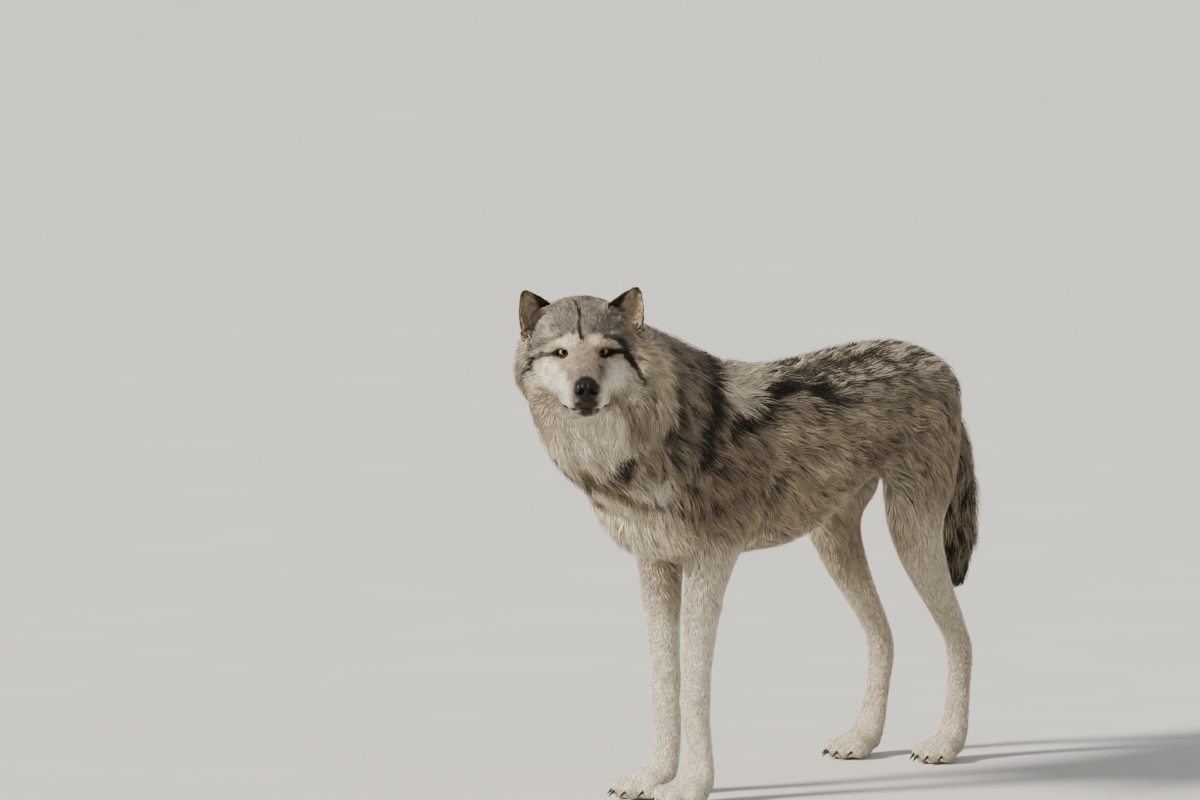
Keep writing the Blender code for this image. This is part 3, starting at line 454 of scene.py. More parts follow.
BODY_STROKES = [
    Stroke("body", ((-0.115, 0.070, 0.826), (-0.150, 0.118, 0.790), (-0.190, 0.148, 0.745),
                    (-0.215, 0.160, 0.700), (-0.205, 0.156, 0.655)),
           (0.016, 0.021), SOOT, 0.95, 0.92),
    Stroke("body", ((-0.132, 0.147, 0.710), (-0.067, 0.138, 0.697), (0.000, 0.125, 0.722),
                    (0.055, 0.109, 0.742), (0.125, 0.093, 0.747), (0.215, 0.112, 0.718)),
           (0.012, 0.017), SOOT, 0.95, 0.90),
    Stroke("body", ((0.100, 0.060, 0.772), (0.250, 0.055, 0.785), (0.420, 0.055, 0.790)),
           (0.010, 0.016), SOOT, 0.90, 0.45),
    Stroke("body", ((0.025, 0.147, 0.595), (0.010, 0.142, 0.560), (0.000, 0.138, 0.538)),
           (0.010, 0.007), SOOT, 0.90, 0.65),
    Stroke("body", ((-0.405, 0.150, 0.740), (-0.395, 0.125, 0.695), (-0.380, 0.095, 0.655),
                    (-0.350, 0.060, 0.625)), (0.016, 0.020), (0.060, 0.045, 0.032), 0.60, 0.92),
    Stroke("body", ((-0.385, 0.002, 0.622), (-0.345, 0.025, 0.596), (-0.297, 0.050, 0.566),
                    (-0.250, 0.075, 0.560)), (0.018, 0.013), (0.130, 0.096, 0.062), 0.30, 0.85),
    Stroke("body", ((-0.300, 0.168, 0.790), (-0.305, 0.168, 0.740), (-0.290, 0.160, 0.690)),
           (0.012, 0.016), (0.075, 0.058, 0.042), 0.60, 0.75),
]
HEAD_STROKES = [
    Stroke("head", ((-0.060, 0.014, 0.086), (-0.040, 0.009, 0.072), (-0.014, 0.005, 0.048),
                    (0.014, 0.002, 0.024)), (0.0012, 0.0036), SOOT, 0.80, 0.85),
    Stroke("head", ((0.002, 0.048, 0.002), (-0.008, 0.064, -0.003), (-0.020, 0.084, -0.014),
                    (-0.032, 0.096, -0.034)), (0.0040, 0.0085),
           (0.060, 0.054, 0.047), 0.50, 0.85),
    Stroke("head", ((0.004, 0.036, 0.028), (-0.010, 0.060, 0.024), (-0.024, 0.078, 0.010),
                    (-0.030, 0.092, -0.006)), (0.0040, 0.0080), (0.120, 0.108, 0.092), 0.40, 0.75),
    Stroke("head", ((0.002, -0.048, 0.002), (-0.006, -0.060, 0.002), (-0.012, -0.071, -0.002),
                    (-0.016, -0.078, -0.016)), (0.0040, 0.0100), (0.014, 0.012, 0.011), 0.60, 0.95),
    Stroke("head", ((-0.016, -0.078, -0.012), (-0.022, -0.088, -0.030), (-0.028, -0.096, -0.052)),
           (0.0060, 0.0016), (0.024, 0.021, 0.018), 0.60, 0.85),
    Stroke("head", ((0.004, -0.034, 0.027), (-0.006, -0.052, 0.027), (-0.012, -0.068, 0.016),
                    (-0.014, -0.076, 0.000)), (0.0036, 0.0080), (0.040, 0.036, 0.031), 0.60, 0.85),
]

# The closed mouth from its middle to a corner, and half the width of its dark lips there.
MOUTH = ((0.1165, 0.000, -0.0715), (0.1155, 0.010, -0.0725), (0.1095, 0.019, -0.0755),
         (0.0940, 0.030, -0.0785), (0.0750, 0.040, -0.0800), (0.0580, 0.048, -0.0765),
         (0.0440, 0.053, -0.0700))
LIP = (0.0034, 0.0062)
EYE_RIM = Patch("head", (0.001, EYE_SPREAD + 0.001, 0.000), (0.022, 0.0158, 0.0094), BLACK, 0.0)
TEAR_MARK = Patch("head", (0.012, EYE_SPREAD - 0.0145, -0.006), (0.012, 0.006, 0.003), BLACK, 0.0)
# The upper lip: its dark skin, with painted shadow under the nose, all in black.
UPPER_LIP_AND_NOSE_SHADOW = Patch("head", (0.120, 0, -0.063), (0.020, 0.0190, 0.0145), BLACK, 0.0, 0.82)
LOWER_LIP = Patch("head", (0.112, 0, -0.0775), (0.016, 0.0110, 0.0060), BLACK, 0.0, 0.85)
NOSE_BED = Patch("head", (0.122, 0, -0.037), (0.026, 0.0190, 0.0185), BLACK, 0.0)


BLUR = 0.30
PATH_STEPS = 5
laid_paths = {}


def lay_path(tree, axes, path):
    """A bent line of the head or the body laid on the surface, in short steps."""
    steps = [Vector(start).lerp(Vector(end), step / PATH_STEPS)
             for start, end in zip(path, path[1:]) for step in range(PATH_STEPS)]
    steps.append(Vector(path[-1]))
    return np.array([tree.find_nearest(place(axes, step))[0] for step in steps])


def lay_markings(skin):
    """Lay every stroke and the mouth on the skin."""
    tree = tree_of(skin)
    for stroke in mirrored_strokes(BODY_STROKES) + HEAD_STROKES:
        laid_paths[stroke] = lay_path(tree, stroke.axes, stroke.path)
    mirrored = tuple((ahead, -side, up) for ahead, side, up in MOUTH)
    laid_paths["mouth"] = lay_path(tree, "head", mirrored[::-1] + MOUTH[1:])


def path_distance(points, path, reach):
    """How far points lie from a bent line, up to a reach, and how far along it, 0 to 1."""
    best = np.full(len(points), reach)
    along = np.zeros(len(points))
    middle_of_path = path.mean(0)
    extent = np.linalg.norm(path - middle_of_path, axis=1).max() + reach
    near = np.nonzero(np.linalg.norm(points - middle_of_path, axis=1) < extent)[0]
    some = points[near]
    for number, (start, end) in enumerate(zip(path, path[1:])):
        run = end - start
        t = np.clip((some - start) @ run / max(run @ run, 1e-12), 0, 1)
        distance = np.linalg.norm(some - start - t[:, None] * run, axis=1)
        nearer = distance < best[near]
        best[near[nearer]] = distance[nearer]
        along[near[nearer]] = ((number + t) / (len(path) - 1))[nearer]
    return best, along


def mouth_distance(points):
    """Distance from the line of the mouth, and how near a corner: 0 in front to 1."""
    distance, along = path_distance(points, laid_paths["mouth"], 0.030)
    return distance, np.abs(along - 0.5) * 2


def ragged_edge(points, near, size, seed, amount):
    """How far noise shifts the edge of a marking, for the points near it."""
    shift = np.zeros(len(points))
    shift[near] = (noise(points[near], size, seed) - 0.5) * amount
    return shift


def stroke_cover(stroke, points):
    wide = max(stroke.width)
    distance, along = path_distance(points, laid_paths[stroke], wide * 2.5)
    half = stroke.width[0] + (stroke.width[1] - stroke.width[0]) * along
    near = distance < wide * 2.4
    ragged = ragged_edge(points, near, max(0.004, wide * 0.8), 9, 0.9)
    cover = stroke.cover * (1 - smooth_step(0.55, 1.35, distance / half + ragged))
    return np.where(near, cover, 0)


def cover_of(patch, points):
    reach = spread_from(into(patch.axes, points), patch.at, patch.size)
    ragged = ragged_edge(points, reach < 1.8, max(0.006, min(patch.size) * 0.9), 3, 0.55)
    return patch.cover * smooth_step(1 + BLUR, 1 - BLUR, reach + ragged)


def ear_place(points):
    """Where each point is on its ear: across to the crown, and along to the tip."""
    across, along = np.zeros(len(points)), np.zeros(len(points))
    left = into("head", points)[:, 1] < 0
    for side, here in (("left", left), ("right", ~left)):
        local = into(f"ear_{side}", points[here])
        across[here] = local[:, 1] * -SIDES[side] / EAR_HALF_WIDTH
        along[here] = local[:, 2] / EAR_LENGTH
    return across, along


def ear_colour(points, normals):
    """Ears: brown and dark-edged behind, tan in the cup, with dark rims, and dark skin with painted
    shade on the cup's side towards the crown.
    """
    facing = normals @ np.array(turned("head", (1, 0, 0)))
    across, along = ear_place(points)
    # Towards the crown the cup is dark skin with painted shade; near the tip it is a dark rim.
    dark = np.maximum(smooth_step(0.20, 0.45, across), smooth_step(0.78, 0.95, along))
    cup = blend(blend(EAR_INNER, EAR_DEEP, smooth_step(0.45, 0.0, along)), EAR_RIM_AND_SHADE, dark)
    behind = blend(EAR_BACK, np.array(EAR_RIM_AND_SHADE) * 1.6, smooth_step(0.35, 0.9, along))
    return blend(behind, cup, smooth_step(-0.15, 0.30, facing))


def markings_at(points, normals, on_ear):
    """Colour of the hair and its share of black tips, at many points."""
    colour = np.tile(np.array(TAWNY), (len(points), 1))
    tips = np.full(len(points), 0.30)
    layers = [(patch, cover_of) for patch in both_sides(BODY_PATCHES)]
    layers += [(stroke, stroke_cover) for stroke in mirrored_strokes(BODY_STROKES)]
    layers += [(patch, cover_of) for patch in both_sides(HEAD_PATCHES)]
    layers += [(stroke, stroke_cover) for stroke in HEAD_STROKES]
    for layer, cover in layers:
        mask = cover(layer, points)
        colour = blend(colour, layer.colour, mask)
        tips += (layer.tips - tips) * mask
    tail = into("body", points)
    on_tail = (smooth_step(0.655, 0.69, tail[:, 0]) * (np.abs(tail[:, 1]) < 0.075)
               * (tail[:, 2] > 0.27))
    top = smooth_step(0.30, 0.44, tail[:, 2])
    colour = blend(colour, blend(SOOT, TAWNY, top), on_tail)
    tips += (0.9 - 0.40 * top - tips) * on_tail
    colour = np.where(on_ear[:, None], ear_colour(points, normals), colour)
    tips = np.where(on_ear, 0.10, tips)
    distance, along = mouth_distance(points)
    lip = LIP[0] + (LIP[1] - LIP[0]) * smooth_step(0.45, 0.75, along)
    dark = 1 - smooth_step(lip * 0.8, lip * 1.2, distance)
    head = into("head", points)
    for patch in both_sides([EYE_RIM, TEAR_MARK, UPPER_LIP_AND_NOSE_SHADOW, LOWER_LIP, NOSE_BED]):
        mask = 1 - smooth_step(0.85, 1.15, spread_from(head, patch.at, patch.size))
        dark = np.maximum(dark, mask * patch.cover)
    colour = blend(colour, BLACK, dark)
    tips = tips * (1 - dark)
    return np.clip(colour, 0, 1), np.clip(tips, 0, 1), dark


def mirrored_strokes(strokes):
    full = []
    for stroke in strokes:
        full.append(stroke)
        full.append(stroke._replace(path=tuple((x, -y, z) for x, y, z in stroke.path)))
    return full


# ---------------------------------------------------------------- the skin

SKIN_VOXEL = 0.0024
SKIN_TRIANGLES = 170000
BODY_ROUNDS, NAPE_ROUNDS, SOCKET_ROUNDS = 60, 320, 25
EAR_COAT = 0.0012
NOSE_PAD = 0.0050
NOSE_ROOT = (0.131, 0, -0.037), (0.026, 0.026, 0.024)
EAR_HAIR = 0.008
FOLD_HALF, FOLD_DEPTH = 0.0050, 0.0040
LIP_HALF, LIP_SWELL = 0.0026, 0.0012


# Where the upper lips hang: the middle, how far it reaches, and how far they come down.
LIP_DROPS = [((0.078, 0.037, -0.070), 0.024, 0.0085), ((0.104, 0.024, -0.068), 0.018, 0.0045)]
# Where the face is pressed in, or let out where the depth is negative: brows, the inner
# corners of the eyes, lips, cheeks and the furrow of the forehead.
PRESSES = [((0.000, 0.030, 0.022), 0.020, -0.0022), ((0.020, 0.020, -0.004), 0.014, 0.0020),
           ((0.100, 0.024, -0.060), 0.022, -0.0020), ((0.060, 0.044, -0.066), 0.018, -0.0018),
           ((0.000, 0.004, 0.034), 0.014, 0.0015)]


def solid_tree(things):
    """A search tree over the faces of several objects, and the object of each face."""
    verts, faces, owners = [], [], []
    for number, thing in enumerate(things):
        base = len(verts)
        verts += [vert.co.copy() for vert in thing.data.vertices]
        faces += [[base + corner for corner in face.vertices] for face in thing.data.polygons]
        owners += [number] * len(thing.data.polygons)
    return BVHTree.FromPolygons(verts, faces), np.array(owners)


def owners_of(points, tree, owners):
    found = np.empty(len(points), dtype=np.int64)
    for number, point in enumerate(points):
        found[number] = owners[tree.find_nearest(point)[2]]
    return found


def make_skin():
    """The bodies of flesh, fused into one surface and drawn in by the depth of the coat."""
    nodes = FLESH + ["eye_left", "eye_right", "nose"]
    skin = joined([copy_of_node(node, "part_" + node) for node in nodes])
    rename(skin, "skin")
    remesh(skin, SKIN_VOXEL)
    largest_shell(skin)
    smooth(skin, 3)
    points = points_of(skin.data)
    head = into("head", points)
    body = into("body", points)
    from_face = np.linalg.norm(head - np.array((0.03, 0, 0)), axis=1)
    broad = np.minimum(smooth_step(0.10, 0.20, from_face), smooth_step(0.12, 0.40, body[:, 2]))
    soften(skin, broad, BODY_ROUNDS)
    nape = (smooth_step(-0.10, -0.13, head[:, 0]) * smooth_step(-0.24, -0.20, head[:, 0])
            * smooth_step(-0.10, -0.02, head[:, 2]))
    soften(skin, nape, NAPE_ROUNDS)
    fill_sockets(skin)
    draw_in(skin)
    hang_lips(skin)
    lay_markings(skin)
    shape_face(skin)
    thin_out(skin)
    skin.data.shade_smooth()
    return skin


def soften(skin, share, rounds):
    """Smooth the skin by a share at each vertex, in tenths."""
    group = skin.vertex_groups.new(name="share")
    for step in range(1, 11):
        chosen = np.nonzero(np.round(share * 10) == step)[0]
        if len(chosen):
            group.add(chosen.tolist(), step / 10, "REPLACE")
    smooth(skin, rounds, "share")
    skin.vertex_groups.clear()


def near_ear(points, reach=0.006):
    """Which points lie on the ears."""
    tree, owners = solid_tree([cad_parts[f"ear_{side}"] for side in SIDES])
    marks = np.zeros(len(points), dtype=bool)
    head = into("head", points)
    for number in np.nonzero((head[:, 2] > 0.03) & (head[:, 0] < -0.02))[0]:
        hit = tree.find_nearest(points[number], reach)
        marks[number] = hit[0] is not None
    return marks


def draw_in(skin):
    """Move the surface in by the coat's depth."""
    mesh = skin.data
    points = points_of(mesh)
    depth = coat_at(points)[2]
    depth[near_ear(points)] = EAR_COAT
    depth[spread_from(into("head", points), *NOSE_ROOT) < 1] = NOSE_PAD
    start, end = taken(mesh.edges, "vertices", 2, np.int64).T
    count = np.bincount(start, minlength=len(points)) + np.bincount(end, minlength=len(points))
    for _ in range(6):
        total = np.bincount(start, depth[end], len(points)) + np.bincount(end, depth[start],
                                                                          len(points))
        depth = 0.5 * depth + 0.5 * total / count
    set_points(mesh, points - normals_of(mesh) * depth[:, None])


def press(points, normals, local, at, reach, depth):
    """Push the surface in (or out, for a negative depth) round a place, on both sides."""
    for sign in SIDES.values():
        points -= normals * (depth * nearness(local, at, reach, sign))[:, None]


def fill_sockets(skin):
    """Even out the edge of each socket, so that the lids have a bed to lie on."""
    local = into("head", points_of(skin.data))
    side = np.abs(local[:, 1]) - EYE_SPREAD
    spread = np.sqrt((side / 0.020) ** 2 + ((local[:, 2]) / 0.015) ** 2)
    soften(skin, ((spread < 1) & (local[:, 0] > -0.03)) * 1.0, SOCKET_ROUNDS)


def hang_lips(skin):
    """Let the upper lips hang over the lower ones, most of all towards the corners."""
    points = points_of(skin.data)
    local = into("head", points)
    for at, reach, drop in LIP_DROPS:
        for sign in SIDES.values():
            down = -np.array(turned("head", (0, -0.50 * sign, 1)))
            points += np.outer(nearness(local, at, reach, sign) * drop, down)
    set_points(skin.data, points)


def shape_face(skin):
    """The presses of the face, the fold of the mouth and the swell of the lips."""
    mesh = skin.data
    points, normals = points_of(mesh), normals_of(mesh)
    local = into("head", points)
    for at, reach, depth in PRESSES:
        press(points, normals, local, at, reach, depth)
    distance, along = mouth_distance(points)
    fold = np.clip(1 - (distance / FOLD_HALF) ** 2, 0, 1) ** 2 * FOLD_DEPTH
    lips = np.exp(-((distance - 0.0060) / LIP_HALF) ** 2) * LIP_SWELL
    points += normals * (lips - fold)[:, None]
    set_points(mesh, points)


def thin_out(skin):
    """Fewer triangles, with the face kept fine."""
    local = into("head", points_of(skin.data))
    face = np.linalg.norm(local - np.array((0.06, 0, -0.03)), axis=1) < 0.10
    group = skin.vertex_groups.new(name="plain")
    group.add(np.nonzero(~face)[0].tolist(), 1.0, "REPLACE")
    group.add(np.nonzero(face)[0].tolist(), 0.5, "REPLACE")
    change(skin, "DECIMATE", ratio=SKIN_TRIANGLES / (2 * len(skin.data.polygons)),
           vertex_group="plain", vertex_group_factor=0.05)
    skin.vertex_groups.clear()


def paint(thing, colour, name="coat"):
    """Keep a colour at each vertex, for the material to read."""
    layer = thing.data.attributes.new(name, "FLOAT_COLOR", "POINT")
    full = np.ones((len(colour), 4), dtype=np.float32)
    full[:, :3] = colour
    layer.data.foreach_set("color", full.reshape(-1))


# ---------------------------------------------------------------- the coat of tufts

# Each piece of the coat: the bodies it grows on, its finish, how many tufts, how many bends
# in each tuft, how much they gather into locks, and how ragged they stand.
Growth = namedtuple("Growth", "piece nodes slot count bends gather ragged")

GROWTHS = [
    Growth("coat_face", ["head"], "head_fur", 32000, 1, 0.10, 0.10),
    Growth("coat_cheeks", ["head"], "head_fur", 16000, 2, 0.45, 0.25),
    Growth("coat_neck", ["neck"], "neck_fur", 16500, 2, 0.60, 0.30),
    Growth("coat_fore_trunk", ["trunk"], "trunk_fur", 16000, 2, 0.60, 0.28),
    Growth("coat_rear_trunk", ["trunk"], "trunk_fur", 16000, 2, 0.60, 0.28),
    Growth("coat_tail", ["tail"], "tail_fur", 7000, 2, 0.55, 0.30),
    Growth("coat_foreleg_left", ["foreleg_left"], "leg_fur", 15000, 1, 0.25, 0.15),
    Growth("coat_foreleg_right", ["foreleg_right"], "leg_fur", 15000, 1, 0.25, 0.15),
    Growth("coat_hindleg_left", ["hindleg_left"], "leg_fur", 20000, 1, 0.35, 0.18),
    Growth("coat_hindleg_right", ["hindleg_right"], "leg_fur", 20000, 1, 0.35, 0.18),
    Growth("coat_ears", ["ear_left", "ear_right"], "ear_fur", 9000, 1, 0.10, 0.10),
]
FACE_START = -0.035
TRUNK_SPLIT = 0.22
# Pieces that cover only a stretch of their bodies: along which axes, from where to where.
STRETCHES = {"coat_face": ("head", FACE_START, math.inf),
             "coat_cheeks": ("head", -math.inf, FACE_START),
             "coat_fore_trunk": ("body", -math.inf, TRUNK_SPLIT),
             "coat_rear_trunk": ("body", TRUNK_SPLIT, math.inf)}
PATCH = 0.003
GUIDE_FACES = 6000
EAR_TUFT = 0.0011
CUP_HAIR, CUP_COAT = 0.016, 0.004
ROOT_SINK = 0.0008
CROWDING = 1.6
WAVE, UNRULY = 0.030, 0.9
LOCK_SIZE, LOCK_SHARE = 0.006, 0.16
# How dark a tuft is painted at its root, as painted shade of the coat over it, and how much paler
# the tips are where they are not black.
ROOT_PAINTED_SHADE, PALE_TIP = 0.62, 0.22


class Ground:
    """The skin as arrays: what the tufts are sown on."""

    def __init__(self, skin, guide):
        mesh = skin.data
        mesh.calc_loop_triangles()
        self.corners = taken(mesh.loop_triangles, "vertices", 3, np.int64)
        self.points = points_of(mesh)
        self.normals = normals_of(mesh)
        a, b, c = (self.points[self.corners[:, k]] for k in range(3))
        self.area = np.linalg.norm(np.cross(b - a, c - a), axis=1) / 2
        self.centre = (a + b + c) / 3
        self.tree = BVHTree.FromPolygons(self.points.tolist(), self.corners.tolist())
        tree, owners = solid_tree([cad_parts[node] for node in FLESH])
        self.owner = owners_of(self.centre, tree, owners)
        self.guide = guide
        self.guide_tree = BVHTree.FromObject(guide, bpy.context.evaluated_depsgraph_get())

    def nearest(self, points):
        """The nearest places of the skin, and its smooth normals there."""
        places = np.empty_like(points)
        normals = np.empty_like(points)
        for number, point in enumerate(points):
            places[number], normals[number] = self.tree.find_nearest(point)[:2]
        return places, normals

    def unwrap(self, points):
        """The place of each point on the flat unwrap of the skin."""
        layer = self.guide.data.uv_layers[0].data
        flat = np.empty((len(points), 2))
        verts = self.guide.data.vertices
        for number, point in enumerate(points):
            spot, _, face, _ = self.guide_tree.find_nearest(point)
            polygon = self.guide.data.polygons[face]
            corners = [verts[index].co for index in polygon.vertices]
            shares = poly_shares(corners, spot)
            flat[number] = shares @ np.array([layer[loop].uv for loop in polygon.loop_indices])
        return flat


def poly_shares(corners, spot):
    """Barycentric shares of a spot in a triangle."""
    a, b, c = corners
    whole = (b - a).cross(c - a)
    square = max(whole.length_squared, 1e-18)
    share_b = (spot - a).cross(c - a).dot(whole) / square
    share_c = (b - a).cross(spot - a).dot(whole) / square
    return np.array((1 - share_b - share_c, share_b, share_c))


def make_guide(skin):
    """A light copy of the skin, unwrapped, that gives each tuft its place on the unwrap."""
    guide = skin.copy()
    guide.data = skin.data.copy()
    guide.name = "guide"
    bpy.context.collection.objects.link(guide)
    change(guide, "DECIMATE", ratio=GUIDE_FACES / len(guide.data.polygons))
    change(guide, "TRIANGULATE")
    bpy.ops.object.mode_set(mode="EDIT")
    bpy.ops.mesh.select_all(action="SELECT")
    bpy.ops.uv.smart_project(angle_limit=math.radians(66), island_margin=0.004)
    bpy.ops.object.mode_set(mode="OBJECT")
    return guide


def from_eye(points):
    """How far from the middle of an eye's opening, 1 at the edge of its rim."""
    local = into("head", points)
    local[:, 1] = np.abs(local[:, 1])
    return spread_from(local, (0.002, EYE_SPREAD - 0.0004, -0.0002), (0.022, 0.0138, 0.0092))


def bare(points):
    """Where no tuft grows: eyes, nose, lips and soles; 0 there and 1 elsewhere."""
    from_nose = spread_from(into("head", points), (0.133, 0, -0.037), (0.017, 0.0205, 0.0175))
    keep = smooth_step(0.95, 1.05, from_eye(points)) * smooth_step(0.95, 1.05, from_nose)
    distance, along = mouth_distance(points)
    keep *= smooth_step(0.0026, 0.0036, distance - 0.002 * smooth_step(0.6, 0.9, along))
    body = into("body", points)
    return keep * smooth_step(0.002, 0.005, body[:, 2])


def sow(ground, growth):
    """Roots spread evenly over the bodies of one piece, closer where tufts are narrow."""
    nodes = [FLESH.index(node) for node in growth.nodes]
    chosen = np.isin(ground.owner, nodes)
    if growth.piece in STRETCHES:
        axes, start, end = STRETCHES[growth.piece]
        x = into(axes, ground.centre)[:, 0]
        chosen &= (x > start) & (x <= end)
    faces = np.nonzero(chosen)[0]
    width = coat_at(ground.centre[faces])[3]
    weight = ground.area[faces] / width ** CROWDING * bare(ground.centre[faces])
    edges = np.concatenate([[0], np.cumsum(weight)])
    picks = (np.arange(growth.count) + chance.random(growth.count)) / growth.count * edges[-1]
    picked = faces[np.clip(np.searchsorted(edges, picks, "right") - 1, 0, len(faces) - 1)]
    first, second = np.sqrt(chance.random(growth.count)), chance.random(growth.count)
    shares = np.stack([1 - first, first * (1 - second), first * second], axis=1)[:, :, None]
    roots = (ground.points[ground.corners[picked]] * shares).sum(1)
    normals = unit((ground.normals[ground.corners[picked]] * shares).sum(1))
    kept = bare(roots) > 0.5
    return roots[kept], normals[kept], ground.owner[picked][kept]


def comb(points, normals, on_ear):
    """Which way the hair lies at many points: along the skin, a little unruly."""
    way = coat_at(points)[0]
    if on_ear.any():
        way[on_ear] = turned("head", (-0.1, 0, 1))
        sign = np.sign(into("head", points[on_ear])[:, 1])
        way[on_ear] += sign[:, None] * np.array(turned("head", (0, 1, 0))) * 0.35
    unruly = np.stack([noise(points, WAVE, seed) - 0.5 for seed in (5, 6, 7)], axis=1)
    way = unit(way) + unruly * UNRULY
    way -= (way * normals).sum(1, keepdims=True) * normals
    return unit(way)


def lock_numbers(roots, spacing):
    """The leading tuft of each tuft's lock."""
    leaders = []
    order = chance.permutation(len(roots))
    cells = set()
    for number in order:
        cell = tuple(np.floor(roots[number] / spacing).astype(int))
        if cell not in cells:
            cells.add(cell)
            leaders.append(number)
    tree = KDTree(len(leaders))
    for slot_number, number in enumerate(leaders):
        tree.insert(roots[number], slot_number)
    tree.balance()
    return np.array([leaders[tree.find(root)[1]] for root in roots])


def grow(ground, growth):
    """One piece of the coat: solid tufts that follow the skin, gathered into locks."""
    roots, normals, owner = sow(ground, growth)
    count = len(roots)
    on_ear = np.isin(owner, [FLESH.index("ear_left"), FLESH.index("ear_right")])
    _, length, depth, width = coat_at(roots)
    in_cup = on_ear & (normals @ np.array(turned("head", (1, 0, 0))) > 0.1)
    _, up_ear = ear_place(roots)
    length[on_ear], depth[on_ear], width[on_ear] = EAR_HAIR, EAR_COAT * 1.6, EAR_TUFT
    low_in_cup = smooth_step(0.75, 0.1, up_ear[in_cup])
    length[in_cup] += CUP_HAIR * low_in_cup
    depth[in_cup] += CUP_COAT * low_in_cup
    fine = 0.40 + 0.60 * np.minimum(smooth_step(1.0, 1.7, from_eye(roots)),
                                    smooth_step(0.004, 0.013, mouth_distance(roots)[0]))
    length, depth = length * fine, depth * fine
    length = length * (0.75 + 0.50 * chance.random(count))
    bend = (chance.random(count) - 0.5) * 2 * growth.ragged
    width = width * (0.60 + 0.46 * chance.random(count))
    rise = depth * (1 - growth.ragged + 2.2 * growth.ragged * chance.random(count) ** 2)
    stations = growth.bends + 1
    place_of = into("body", roots)
    belly = (smooth_step(-0.06, 0.00, place_of[:, 0]) * smooth_step(0.50, 0.42, place_of[:, 0])
             * smooth_step(0.52, 0.46, place_of[:, 2]) * smooth_step(0.36, 0.40, place_of[:, 2]))
    cling = (0.75 - 0.50 * belly)[:, None]
    lines = [roots - normals * ROOT_SINK]
    tops = [normals]
    spot, up = roots, normals
    for step in range(1, stations + 1):
        t = step / stations
        way = comb(spot, up, on_ear)
        spot = spot + way * (length / stations)[:, None]
        landed, landed_up = ground.nearest(spot)
        up = unit(up * 0.4 + landed_up * 0.6)
        spot = landed * cling + spot * (1 - cling)
        height = rise * (1 - (1 - t) ** 2)
        sideways = np.cross(way, up) * (bend * length * t * t)[:, None]
        lines.append(spot + up * height[:, None] + sideways)
        tops.append(up)
    leader = lock_numbers(roots, LOCK_SIZE + LOCK_SHARE * float(np.median(length)))
    for step in range(1, stations + 1):
        pull = growth.gather * (step / stations) ** 1.5
        offset = (roots - roots[leader]) * 0.35
        target = lines[step][leader] + offset
        lines[step] = lines[step] * (1 - pull) + target * pull
    return build_tufts(ground, growth, lines, tops, width, leader, on_ear)


def build_tufts(ground, growth, lines, tops, width, leader, on_ear):
    """Mesh, colours and unwrap of one piece, from the middle lines of its tufts."""
    count, stations = len(width), len(lines) - 1
    rings = stations - 1
    girth = [1.0] if rings == 1 else [1.0, 0.7]
    points = np.empty((count, 2 + 3 * rings, 3))
    points[:, 0] = lines[0]
    points[:, -1] = lines[-1]
    along = [0.0]
    for ring in range(rings):
        path = unit(lines[ring + 2] - lines[ring])
        upward = tops[ring + 1]
        across = unit(np.cross(upward, path))
        upward = np.cross(path, across)
        half = (width * girth[ring] / 2)[:, None]
        centre = lines[ring + 1]
        points[:, 1 + 3 * ring] = centre + across * half
        points[:, 2 + 3 * ring] = centre + upward * half * 0.6
        points[:, 3 + 3 * ring] = centre - across * half
        along += [(ring + 1) / stations] * 3
    along.append(1.0)
    size = points.shape[1]
    faces = []
    for j in range(3):
        k = (j + 1) % 3
        faces.append((0, 1 + k, 1 + j))
        for ring in range(rings - 1):
            low, high = 1 + 3 * ring, 4 + 3 * ring
            faces.append((low + j, low + k, high + k))
            faces.append((low + j, high + k, high + j))
        last = 1 + 3 * (rings - 1)
        faces.append((last + j, last + k, size - 1))
    faces = np.array(faces)
    across_of = np.array([0.0] + [-0.5, 0.0, 0.5] * rings + [0.0])
    along = np.array(along)
    corners = (faces[None] + (np.arange(count) * size)[:, None, None]).reshape(-1)
    mesh = bpy.data.meshes.new(growth.piece)
    mesh.vertices.add(count * size)
    mesh.vertices.foreach_set("co", points.reshape(-1))
    mesh.loops.add(len(corners))
    mesh.loops.foreach_set("vertex_index", corners.astype(np.int32))
    triangles = count * len(faces)
    mesh.polygons.add(triangles)
    mesh.polygons.foreach_set("loop_start", np.arange(triangles, dtype=np.int32) * 3)
    mesh.update(calc_edges=True)
    mesh.shade_smooth()
    thing = new_thing(growth.piece, mesh)
    colour, tips, _ = markings_at(lines[0], tops[0], on_ear)
    paint(thing, tuft_colours(lines[0], colour, tips, along, leader))
    flat = ground.unwrap(lines[0])
    unwrap = mesh.uv_layers.new(name="OFBake")
    offset = np.stack([across_of, along - 0.5], axis=1) * PATCH
    spread = flat[:, None, :] + offset[None, :, :]
    unwrap.data.foreach_set("uv", np.clip(spread.reshape(-1, 2)[corners], 0, 1).reshape(-1))
    return thing


